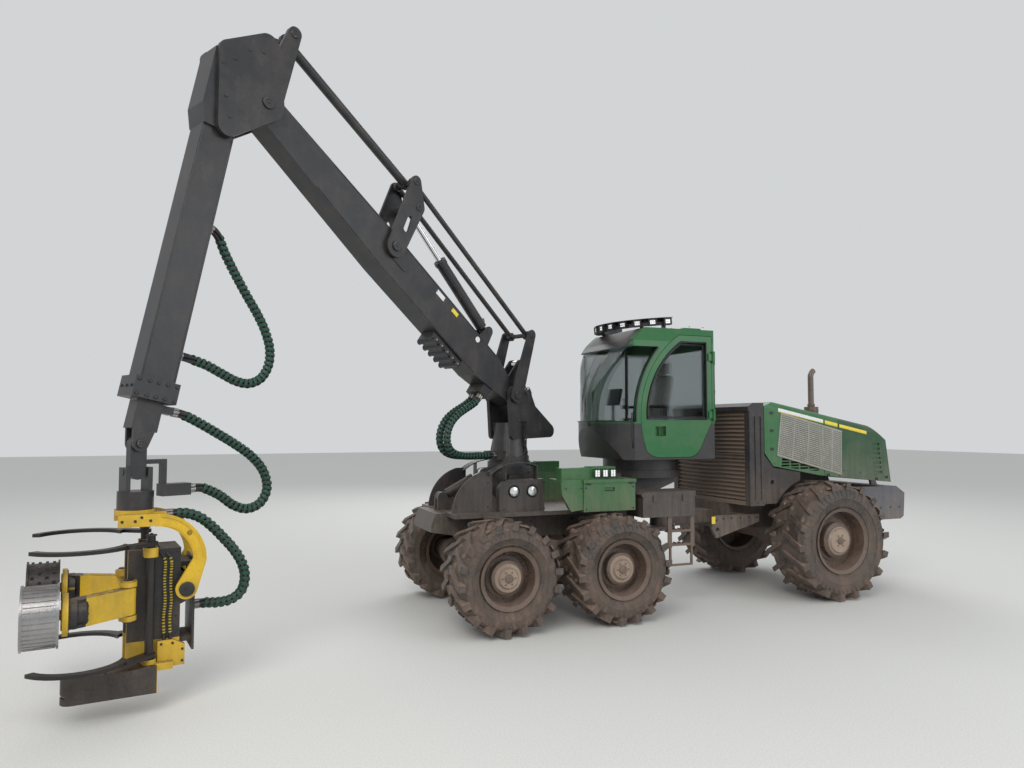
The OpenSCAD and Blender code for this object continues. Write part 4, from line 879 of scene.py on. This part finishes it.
# Seat: crowned cushions with sewn channels on a pedestal, with arms and controls
def cushion(name, place, size, crown, channels=2):
    """A padded form, size in millimetres, fuller in the middle, with sewn channels along it."""
    lx, ly, lz = [v / 2000 for v in size]
    steps_u, steps_v = 40, 28
    verts, faces = [], []
    for i in range(steps_u + 1):
        v = -1 + 2 * i / steps_u
        for j in range(steps_v * 2):
            a = math.tau * j / (steps_v * 2)
            ca, sa = math.cos(a), math.sin(a)
            px = math.copysign(abs(ca) ** 0.28, ca)
            pz = math.copysign(abs(sa) ** 0.45, sa)
            end = max(0.0, 1 - abs(v) ** 7) ** 0.5
            pinch = 1 - 0.05 * (1 - abs(v) ** 2) * abs(px) ** 6
            x = lx * px * (0.86 + 0.14 * end) * pinch
            y = ly * v * (1 - 0.02 * (1 - abs(px)))
            z = lz * pz * (0.25 + 0.75 * end)
            if pz > 0:
                z *= 1 + crown * (1 - px * px) * (1 - v * v)
                for c in range(channels):
                    at = (c + 1) / (channels + 1) * 2 - 1
                    z -= 0.006 * math.exp(-((v - at) / 0.035) ** 2)
                    z -= 0.003 * math.exp(-((px - at * 0.9) / 0.05) ** 2)
            verts.append((x, y, z))
    n = steps_v * 2
    for i in range(steps_u):
        low, high = i * n, (i + 1) * n
        faces += [[low + k, low + (k + 1) % n, high + (k + 1) % n, high + k] for k in range(n)]
    faces += [list(range(n))[::-1], [steps_u * n + k for k in range(n)]]
    shape = Shape()
    shape.add((verts, faces), place)
    # Piping round the cushion's seam
    rim = [(lx * 1000 * math.copysign(abs(math.cos(a)) ** 0.3, math.cos(a)) * 0.985,
            ly * 1000 * math.copysign(abs(math.sin(a)) ** 0.3, math.sin(a)) * 0.985, 0)
           for a in [math.tau * k / 64 for k in range(64)]]
    shape.add(sweep(line(place, rim), circle(4, 6), True), look=1)
    made = piece(name, shape, [MATERIALS["seat_cloth"], BLACK], "cab", 70)
    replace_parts(made, "cab_seat")


SEAT = CAB @ moved(0, 0, 2420)
cushion("seat_base", SEAT @ moved(-85, 0, 64) @ rotation(-1.3, "Y"), (530, 505, 112), 0.10)
cushion("seat_back", SEAT @ moved(-340, 0, 420) @ rotation(81, "Y"), (640, 465, 84), 0.08, 3)
cushion("seat_headrest", SEAT @ moved(-400, 0, 835) @ rotation(88, "Y"), (160, 268, 76), 0.06, 0)
shape = Shape()
shape.add(block(290, 290, 60, 8), spot(CAB, -90, 0, 2055))
for k in range(6):
    shape.add(block(250 - 10 * (k % 2), 250 - 10 * (k % 2), 46, 10), spot(CAB, -90, 0, 2108 + k * 46))
shape.add(block(420, 380, 24, 6), spot(CAB, -90, 0, 2396))
for y in (-60, 60):
    shape.add(sweep(line(CAB, [(-404, y, 3110), (-404, y, 3180), (-402, y, 3230)]), circle(8, 10)))
for y in (-238, 238):
    shape.add(block(52, 44, 200, 8), spot(CAB, -270, y, 2580))
    shape.add(block(400, 54, 40, 12), spot(CAB, -122, y, 2692))
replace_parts(piece("seat_stand", shape, [BLACK], "cab"), "cab_seat")
shape = Shape()
for y in (-224, 224):
    shape.add(lathe([(0, 0), (44, 0), (46, 8), (46, 50), (36, 62), (0, 64)], 28), spot(CAB, 110, y, 2662))
    stick = [(110, y, 2724), (112, y, 2760), (118, y, 2800), (120, y, 2824)]
    shape.add(sweep(line(CAB, stick), circle(12, 12)))
    shape.add(lathe([(0, -20), (14, -18), (19, -4), (17, 10), (8, 18), (0, 19)], 16), spot(CAB, 120, y, 2810))
    cap = lathe([(0, 0), (5, 0), (5, 4), (3, 6), (0, 6)], 10)
    for dx, dy in circle(30, 6):
        shape.add(cap, spot(CAB, 110 + dx, y + dy, 2725), 1)
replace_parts(piece("seat_controls", shape, [BLACK, STRIPE], "cab"), "cab_seat")

# Screen face, its frame and keys, and the console's knobs
shape = Shape()
FACE = CAB @ moved(520, 170, 2820) @ rotation(-12, "Y")
shape.add(block(6, 290, 200, 3), FACE @ moved(-17, 0, 0))
for y, z, ly, lz in ((0, 108, 318, 12), (0, -108, 318, 12), (153, 0, 12, 226), (-153, 0, 12, 226)):
    shape.add(block(10, ly, lz, 3), FACE @ moved(-18, y, z), 1)
for k in range(9):
    shape.add(block(5, 18, 9, 2), FACE @ Matrix.Translation((-0.0235, -0.12 + k * 0.03, -0.108)), 2)
for k in range(5):
    knob = lathe([(0, 0), (13, 0), (12, 16), (10, 18), (0, 18)], 16)
    shape.add(knob, spot(CAB, 520, -170 + k * 50, 2476), 1)
piece("screen_face", shape, [SCREEN, BLACK, PLATE], "cab")

# Door: handle lever, lock, hinge bolts and the inner lining round its glass
shape = Shape()
grip = [(96, 712, 2280), (110, 728, 2288), (114, 730, 2340), (112, 728, 2380), (98, 712, 2390)]
shape.add(sweep(line(CAB, grip), circle(9, 10)))
shape.add(disc(13, 9), spot(CAB, 60, 708, 2360, "y"))
for z in (2525, 3346):
    for dx in (-640, -600):
        shape.add(bolt(9), spot(CAB, dx, 719, z, "y"))
piece("door_fittings", shape, [BLACK], "door")
shape = Shape()
lining = [(x, 686, z) for x, z in arched(-610, 2536, 3548, FRONT_ARC, 1196)]
shape.add(sweep(line(CAB, lining), band(12, 26), True))
piece("door_lining", shape, [LINING], "door")

# Grab rail clamps and a second rail on the cab's front corner
shape = Shape()
for z in (2500, 2900, 3290):
    shape.add(lathe([(17, -14), (21, -12), (21, 12), (17, 14)], 20), spot(CAB, -795, 680, z))
rail = [(536, 700, 2120), (560, 735, 2180), (580, 742, 2300), (580, 742, 2520), (560, 720, 2590)]
shape.add(sweep(smooth(line(CAB, rail), 0.03), circle(11, 12)))
piece("cab_rails", shape, [BLACK], "cab")

# Hood and cooler: dusty slats, stripe, catches, bolts and blank plates
HOOD_Y = 930
# The mesh panel's corners: top front, top rear, foot rear and foot front
A, B, C, D = (-3610, 2600), (-4735, 2335), (-4715, 1700), (-3530, 2000)


def between(p, q, t):
    return [p[i] + (q[i] - p[i]) * t for i in (0, 1)]


def strip(shape, p, q, y, section):
    """A straight strip between two places in X and Z."""
    shape.add(sweep(line(MACHINE, [(p[0], y, p[1]), (q[0], y, q[1])]), section))


shape = Shape()
for side in (-1, 1):
    y = side * (HOOD_Y + 5)
    for k in range(22):
        a, b = [between(p, q, (k + 0.5) / 22) for p, q in ((A, D), (B, C))]
        for low, high in ((0.0, 0.675), (0.695, 0.985)):
            strip(shape, between(a, b, low), between(a, b, high), y, [(-3, -9), (4, -5), (4, 8), (-3, 5)])
    for t in (0.0, 0.225, 0.45, 0.675, 0.69, 0.84, 0.99):
        strip(shape, between(A, B, t), between(D, C, t), y, band(12, 9))
    for p, q in ((A, B), (D, C)):
        strip(shape, p, q, y, band(9, 14))
    # Upright wires of the mesh behind the slats
    for k in range(44):
        t = (k + 0.5) / 44
        strip(shape, between(A, B, t), between(D, C, t), y, band(9, 5))
piece("hood_slats", shape, [MESH_DUST], "hood_body")

shape = Shape()
for side in (-1, 1):
    y = side * (HOOD_Y + 1)
    for x0, x1, look, w in ((-3560, -4385, 1, 44), (-4415, -4655, 0, 42), (-4690, -5220, 0, 38)):
        z0, z1 = [2650 - (-3560 - x) * 0.2 for x in (x0, x1)]
        outline = [(x0, z0 - w / 2), (x0, z0 + w / 2), (x1, z1 + w / 2), (x1, z1 - w / 2)]
        shape.add(slab(outline, 5), spot(MACHINE, 0, y, 0), look)
        outline = [(x0, z0 - w / 2 - 10), (x0, z0 - w / 2 - 2), (x1, z1 - w / 2 - 2), (x1, z1 - w / 2 - 10)]
        shape.add(slab(outline, 5, 1), spot(MACHINE, 0, y, 0), 0)
piece("hood_stripe", shape, [STRIPE, PLATE], "hood_body")

shape = Shape()
for side, out in SIDES:
    y = side * HOOD_Y
    for x, z in ((-3440, 2090), (-3440, 2350), (-3440, 2600), (-4460, 1700), (-5400, 1620), (-5600, 1640)):
        shape.add(block(60, 40, 10, 3), spot(MACHINE, x, y, z, out))
        shape.add(bolt(7), spot(MACHINE, x - 18, y + side * 5, z, out))
    for k in range(7):
        shape.add(bolt(7), spot(MACHINE, -3480 - k * 320, y, 1880 - max(0, k - 1) * 40, out))
for y in (-500, 500):
    shape.add(block(90, 60, 14, 4), spot(MACHINE, -3800, y, 2716))
piece("hood_catches", shape, [BLACK], "hood_body")

shape = Shape()
for side, out in SIDES:
    y = side * HOOD_Y
    for x in (-3075, -3180, -3275):
        for k in range(7):
            shape.add(bolt(7), spot(MACHINE, x, y, 1340 + k * 208, out))
for z in (1370, 1962, 2030, 2622):
    for k in range(8):
        shape.add(bolt(7), spot(MACHINE, -3050, -840 + k * 240, z, "x"))
shape.add(sweep(line(MACHINE, [(-3046, -820, 1995), (-3046, 820, 1995)]), band(12, 20)))
piece("cooler_bolts", shape, [BLACK], "rear")

# Exhaust: clamp rings, rim and bolt
shape = Shape()
for z in (2460, 2560, 2660):
    shape.add(lathe([(110, -10), (116, -7), (116, 7), (110, 10)], 40), spot(MACHINE, -5040, 0, z))
shape.add(lathe([(46, 0), (58, 4), (58, 44), (46, 48)], 28), spot(MACHINE, -5040, 0, 2722))
shape.add(bolt(8), spot(MACHINE, -5040, 60, 2746, "y"))
piece("exhaust_clamps", shape, [MATERIALS["mud"]], "hood_body")

# Rear frame: blank plates, bolts and tail lamps
shape = Shape()
for side, out in SIDES:
    shape.add(slab([(-2560, 1052), (-2560, 1152), (-2500, 1152), (-2500, 1052)], 5),
              spot(MACHINE, -60, side * 707, 0), 1)
    bolts(shape, MACHINE, 11, side * 705, out,
          ((-2640, 1100), (-2760, 1120), (-2900, 1120), (-3050, 1120), (-3200, 1120), (-3340, 1110)))
    for x in (-5880, -5700, -5500, -5300, -5100):
        shape.add(bolt(10), spot(MACHINE, x, side * 900, 1180, out))
    for y in (620, 760):
        lamp = lathe([(44, 0), (44, 12), (38, 16), (0, 20)])
        shape.add(lamp, spot(MACHINE, -5979, side * y, 1250, "-x"), 2)
piece("rear_fittings", shape, [BLACK, STRIPE, RED_LENS], "rear")

# Front frame: lamp glasses and bolts
shape = Shape()
for side, out in SIDES:
    for x in (130, 380):
        at = spot(MACHINE, x, side * 616, 1590, out)
        shape.add(lathe([(60, 0), (60, 8), (52, 13), (0, 18)], 36), at, 2)
        shape.add(lathe([(60, 0), (72, 0), (72, 16), (66, 20), (60, 16)], 36), at, 0)
    bolts(shape, MACHINE, 9, side * 680, out,
          ((-10, 1370), (-10, 1700), (540, 1370), (250, 1370), (250, 1710)))
    bolts(shape, MACHINE, 9, side * 532, out,
          ((700, 1400), (700, 1700), (860, 1780), (1020, 1640), (1120, 1420)))
    for k in range(8):
        shape.add(bolt(10), spot(MACHINE, -1150 + k * 300, side * 402, 1180, out))
piece("front_fittings", shape, [BLACK, MATERIALS["mud"], LENS], "front")

# Side boxes: lamp faces, hinges, handle bars and bolts
shape = Shape()
for side, out in SIDES:
    for k in range(3):
        lamp_face(shape, spot(MACHINE, -846 + k * 113, side * 978, 1815, out, 0), 84, 96, 2, 3)
piece("side_lamps", shape, [LENS, BLACK, BRIGHT], "front")
shape = Shape()
for side, out in SIDES:
    for x in (-1080, -460):
        hinge = [(x - 30, side * 1046, 1692), (x + 30, side * 1046, 1692)]
        shape.add(sweep(line(MACHINE, hinge), circle(9, 12)))
    handle = [(-830, side * 1032, 1600), (-770, side * 1036, 1600), (-710, side * 1032, 1600)]
    shape.add(sweep(line(MACHINE, handle), circle(6, 10)))
    bolts(shape, MACHINE, 8, side * 1035, out,
          ((-1110, 1370), (-1110, 1640), (-430, 1370), (-430, 1640), (-360, 1640), (-150, 1640)))
piece("box_fittings", shape, [BLACK], "front")


# Crane: pin caps, bolts, wear strips, blank plates and weld beads
def pin_cap(shape, base, x, z, y, r, look=0):
    """A cap on each side of the crane's plane, held by a keeper bolt."""
    for side, out in SIDES:
        cap = lathe([(0, 0), (r, 0), (r, 6), (r - 4, 10), (r * 0.55, 10), (r * 0.5, 6), (0, 6)], 28)
        shape.add(cap, spot(base, x, side * y, z, out), look)
        shape.add(bolt(r * 0.16), spot(base, x, side * (y + 6), z, out), look)
        grease = lathe([(5, 0), (5, 5), (3, 7), (3, 12), (0, 13)], 10)
        shape.add(grease, spot(base, x + r * 0.75, side * (y + 9), z, out), look + 1)


CRANK_LENGTH, CRANK_RISE = 870, 71.8
RISE = math.radians(CRANK_RISE)
CRANK = (CRANK_LENGTH * math.cos(RISE), CRANK_LENGTH * math.sin(RISE))
LEVER = (2600, 80)
FOLD = math.radians(CRANK_RISE + BOOM_RISE + JIB_DROP)
JIB_CRANK = (CRANK_LENGTH * math.cos(FOLD), CRANK_LENGTH * math.sin(FOLD))


def bead(base, points, y, r=5):
    """A rounded weld bead along points in a plane, with small ripples."""
    path = smooth(line(base, [(x, y, z) for x, z in points]), 0.02)
    verts, faces = sweep(path, circle(r, 6))
    for i in range(0, len(verts), 6):
        if (i // 6) % 2:
            middle = Vector(path[i // 6])
            for k in range(i, i + 6):
                verts[k] = tuple(middle + (Vector(verts[k]) - middle) * 0.8)
    return verts, faces


STEEL = MATERIALS["bare_steel"]
CHARCOAL = MATERIALS["charcoal_paint"]
shape = Shape()
pin_cap(shape, BOOM, 0, 0, 260, 62)
pin_cap(shape, BOOM, BOOM_LENGTH * 1000, 0, 220, 64)
pin_cap(shape, BOOM, LEVER[0], LEVER[1], 220, 62)
for side, out in SIDES:
    y = side * 151
    shape.add(bead(BOOM, [(520, 206), (1500, 206), (2450, 206)], y))
    shape.add(bead(BOOM, [(2740, 206), (3200, 192), (3700, 178)], y))
    shape.add(bead(BOOM, [(720, -226), (1700, -226), (2590, -226)], y))
    shape.add(bead(BOOM, [(2610, -224), (3150, -200), (3700, -176)], y))
    for k in range(5):
        shape.add(lathe([(34, 0), (38, 2), (38, 10), (30, 16), (12, 18), (0, 18)], 20),
                  spot(BOOM, 1010 + k * 110, side * 150, -330, out))
        shape.add(bolt(10), spot(BOOM, 1010 + k * 110, side * 166, -330, out), 1)
for x in (990, 1230, 1470):
    shape.add(bolt(12), spot(BOOM, x, 0, -345, "-z"))
piece("boom_trim", shape, [CHARCOAL, STEEL], "boom_body")

shape = Shape()
for x, z, lx, lz, look in ((1731, 179, 150, 60, 1), (1431, 178, 120, 52, 0)):
    outline = [(-lx / 2, -lz / 2), (lx / 2, -lz / 2), (lx / 2, lz / 2), (-lx / 2, lz / 2)]
    shape.add(slab(outline, 4), BOOM @ moved(x, 152, z - 32), look)
    for dx in (-1, 1):
        shape.add(bolt(4), spot(BOOM, x + dx * (lx / 2 - 8), 153, z - 32, "y"), 2)
shape.add(disc(38, 5), spot(BOOM, 931, 150, 150, "y"), 1)
piece("boom_plates", shape, [STRIPE, PLATE, BLACK], "boom_body")

shape = Shape()
pin_cap(shape, BOOM, LEVER[0] + CRANK[0], LEVER[1] + CRANK[1], 210, 46)
pin_cap(shape, BOOM, LEVER[0] + 55, LEVER[1] + 610, 210, 44)
piece("lever_caps", shape, [CHARCOAL, STEEL], "lever")
shape = Shape()
pin_cap(shape, BOOM, CRANK[0], CRANK[1], 255, 46)
piece("rocker_caps", shape, [CHARCOAL, STEEL], "rocker")

shape = Shape()
pin_cap(shape, JIB, JIB_CRANK[0], JIB_CRANK[1], 211, 50)
for side, out in SIDES:
    shape.add(bead(JIB, [(520, 236), (1600, 236), (2940, 236)], side * 131))
    shape.add(bead(JIB, [(520, 526), (1600, 526), (2940, 526)], side * 131))
    for x in (2990, 3120):
        for z in (210, 300, 380, 460, 550):
            shape.add(bolt(13), spot(JIB, x, side * 165, z, out))
            shape.add(lathe([(20, 0), (20, 4), (17, 6), (0, 6)], 20), spot(JIB, x, side * 165, z, out))
    for x, z in ((-250, 420), (-420, 300), (-480, 160), (-150, 520), (150, 420), (330, 340)):
        shape.add(disc(22, 7), spot(JIB, x, side * 211, z, out))
for z in (188, 582):
    for y in (-110, 0, 110):
        shape.add(bolt(12), spot(JIB, 3055, y, z - 3 if z < 300 else z + 3, "-z" if z < 300 else "z"))
# Wear strips that show at the mouth of the collar
for z in (498, 262):
    shape.add(block(18, 150, 6, 1), spot(JIB, 3158, 0, z), 1)
piece("jib_trim", shape, [CHARCOAL, STEEL], "jib_body")

shape = Shape()
tip_out = (TIP - CRANE.translation).dot(CRANE.col[0].xyz)
pin_cap(shape, CRANE, tip_out * 1000, TIP.z * 1000, 100, 40)
piece("link_caps", shape, [CHARCOAL, STEEL], "link")

# Crane foot and pillar: bolts and caps
shape = Shape()
for x, y in circle(255, 18):
    # The three foremost places have no bolt
    if x < 237:
        shape.add(bolt(12), spot(CRANE, x, y, 2010.3))
for side, out in SIDES:
    for x, z in ((-420, 2360), (-250, 2420), (20, 2480), (60, 2620), (-60, 2560)):
        shape.add(disc(20, 6), spot(CRANE, x, side * 215, z, out))
piece("pillar_bolts", shape, [CHARCOAL], "pillar")
shape = Shape()
for side, out in SIDES:
    for k in range(8):
        a = math.radians(k * 30 - 15)
        shape.add(bolt(13), spot(MACHINE, 200 + 235 * math.cos(a), side * 295, 1650 + 235 * math.sin(a), out))
    shape.add(disc(75, 10), spot(MACHINE, 200, side * 360, 1650, out))
    shape.add(bolt(14), spot(MACHINE, 200, side * 370, 1650, out))
piece("foot_bolts", shape, [CHARCOAL], "crane_foot")


# Cylinders: gland rings, bolts and port blocks
def cylinder_trim(name, base, a, b, r, reach, body, ports):
    angle = math.atan2(b[1] - a[1], b[0] - a[0])
    axis = base @ moved(a[0], 0, a[1]) @ Matrix.Rotation(-angle, 4, "Y")
    shape = Shape()
    gland = lathe([(r * 0.5 + 3, -4), (r * 0.5 + 10, 4), (r * 0.5 + 12, 0), (r + 8, -2)], 32)
    shape.add(gland, axis @ moved(reach, 0, 0) @ Matrix.Rotation(math.pi / 2, 4, "Y"))
    for k in range(6):
        turned = Matrix.Rotation(math.tau * (k + 0.5) / 6, 4, "X") @ moved(reach - 30, 0, r + 8)
        shape.add(bolt(5), axis @ turned)
    for x in ports:
        shape.add(block(56, 40, 26, 4), axis @ moved(x, 0, r + 10))
        shape.add(lathe([(12, 0), (12, 10), (9, 12), (9, 24), (0, 24)], 12), spot(axis, x, 0, r + 20), 1)
    piece(name, shape, [CHARCOAL, STEEL], body)


cylinder_trim("lift_trim", CRANE, (-600, 2350), (-140, 3250), 75, 640, "lift_barrel_body", (130, 540))
cylinder_trim("jib_trim_cylinder", BOOM, (800, 420), (2655, 690), 72, 1140, "jib_barrel_body", (130,))
cylinder_trim("tilt_trim", MACHINE, (1150, 1500), (580, 1800), 60, 490, "tilt_barrel_body", (130, 390))

# Head: bolts, pin caps, ribs, roller hubs and saw chain
YELLOW = MATERIALS["yellow_paint"]
shape = Shape()
for side, out in SIDES:
    cap = lathe([(0, 0), (64, 0), (64, 8), (58, 12), (20, 12), (0, 12)], 32)
    shape.add(cap, spot(GRIP, -400, side * 320, 1000, out))
    shape.add(bolt(14), spot(GRIP, -400, side * 332, 1000, out))
    for z in (420, 620, 760, 1130, 1250, 1320):
        for x in (-330, -290):
            shape.add(bolt(10), spot(GRIP, x, side * 220, z, out))
    bolts(shape, GRIP, 9, side * 270, out, ((-380, 380), (-380, 480), (-210, 380), (-210, 540), (-300, 540)))
for y in (-160, -60, 60, 160):
    for z in (500, 700, 900, 1100, 1220):
        shape.add(bolt(9), spot(GRIP, -480, y, z, "-x"))
for x, y in ((-130, 260), (-130, 400), (40, 400), (220, 400), (400, 390), (500, 330), (400, 268), (220, 256)):
    shape.add(bolt(8), spot(GRIP, x, y, 395, "z"))
piece("head_bolts", shape, [BLACK], "head")

shape = Shape()
for x, y in circle(140, 12):
    shape.add(bolt(10), spot(GRIP, x, y, 1685.2 - 49, "-z"))
for side, out in SIDES:
    bolts(shape, GRIP, 10, side * 310, out, ((-100, 1610), (20, 1610), (120, 1610), (-30, 1640)))
    # Two raised ribs along the arch
    for r, start in ((330, 100), (400, 96)):
        rib = [(x, side * 312, z) for x, z in arc((-140, 1246), r, start, 178, 14)]
        shape.add(sweep(line(GRIP, rib), band(14, 10)), look=1)
piece("hanger_trim", shape, [BLACK, YELLOW], "head_hanger")

ROLLER_Z = 950
for label, side in (("left", 1), ("right", -1)):
    roller_y = side * 600
    shape = Shape()
    for dy, dz in circle(145, 10):
        shape.add(bolt(9), spot(GRIP, 500, roller_y + dy, ROLLER_Z + dz, "-x"))
    cover = lathe([(88, 0), (88, 8), (80, 16), (40, 20), (0, 20)], 32)
    shape.add(cover, spot(GRIP, 380, roller_y, ROLLER_Z, "-x"))
    for dy, dz in circle(66, 6):
        shape.add(bolt(8), spot(GRIP, 366, roller_y + dy, ROLLER_Z + dz, "-x"))
    for z in (1120, 780):
        shape.add(disc(40, 9), spot(GRIP, 60, side * 320, z, "z" if z > 900 else "-z"))
    piece("arm_bolts_" + label, shape, [BLACK], f"arm_{label}_body")

    shape = Shape()
    for dy, dz in circle(120, 8):
        shape.add(bolt(13), spot(GRIP, 790, roller_y + dy, ROLLER_Z + dz, "x"))
    hub = lathe([(0, 0), (70, 0), (70, 10), (62, 16), (30, 18), (24, 12), (0, 12)], 32)
    shape.add(hub, spot(GRIP, 790, roller_y, ROLLER_Z, "x"))
    # Ribs of the smooth roller
    for k in range(36 if side > 0 else 0):
        turned = spot(GRIP, 560, roller_y, ROLLER_Z, "x", math.degrees(math.tau * k / 36))
        shape.add(block(5, 7, 216, 1), turned @ moved(238.5, 0, 130))
    piece("roller_hub_" + label, shape, [STEEL], f"roller_{label}_body")

    shape = Shape()
    for z in (1480.3, 440.3):
        facing, head_z = ("z", z + 10) if z > 900 else ("-z", z - 10)
        shape.add(disc(46, 10), spot(GRIP, -110, side * 300, z, facing))
        shape.add(bolt(13), spot(GRIP, -110, side * 300, head_z, facing))
    piece("knife_caps_" + label, shape, [BLACK], f"knife_{label}_body")

SAW = GRIP @ moved(-50, 330, 240)
shape = Shape()
track = [(520 + 58 * math.cos(a), 58 * math.sin(a)) for a in [math.radians(-90 + 10 * k) for k in range(19)]]
track = [(28 * k, -60.5 - 0.004 * k) for k in range(18)] + track + [(504 - 28 * k, 60.5) for k in range(18)]
for k, (x, y) in enumerate(track):
    nx, ny = track[(k + 1) % len(track)]
    angle = math.atan2(ny - y, nx - x)
    size = (20, 5, 9) if k % 2 else (22, 7, 5)
    place = SAW @ moved(x, y, 7) @ Matrix.Rotation(angle, 4, "Z")
    shape.add(block(*size, 1), place)
shape.add(lathe([(0, 0), (30, 0), (30, 4), (0, 4)], 24), spot(SAW, 0, 0, 14))
shape.add(lathe([(0, 0), (16, 0), (16, 2), (0, 2)], 20), spot(SAW, 520, 0, 14))
piece("saw_chain", shape, [STEEL], "saw")

# Two guarded hoses clamped to the head's left flank
shape = Shape()
for x, low in ((-232, 604), (-282, 604)):
    run = [(x, 246, low), (x + 6, 242, 760), (x - 4, 240, 900), (x + 4, 241, 1080), (x, 242, 1230),
           (x + 20, 236, 1290), (x + 44, 224, 1316)]
    way = smooth(line(GRIP, run), 0.012)
    shape.add(sweep(way, circle(10, 10)))
    for i in range(3, len(way) - 5, 2):
        shape.add(sweep([way[i], way[i + 1] * 0.85 + way[i] * 0.15], circle(13.5, 10)), look=1)
    shape.add(lathe([(14, -36), (14, -8), (11, 0), (11, 14), (0, 14)], 6), spot(GRIP, x, 246, low), 2)
    for z in (760, 960, 1160):
        shape.add(block(34, 16, 26, 3), spot(GRIP, x, 226, z), 2)
piece("flank_hoses", shape, [MATERIALS["hose_rubber"], YELLOW_GUARD, BLACK], "head")
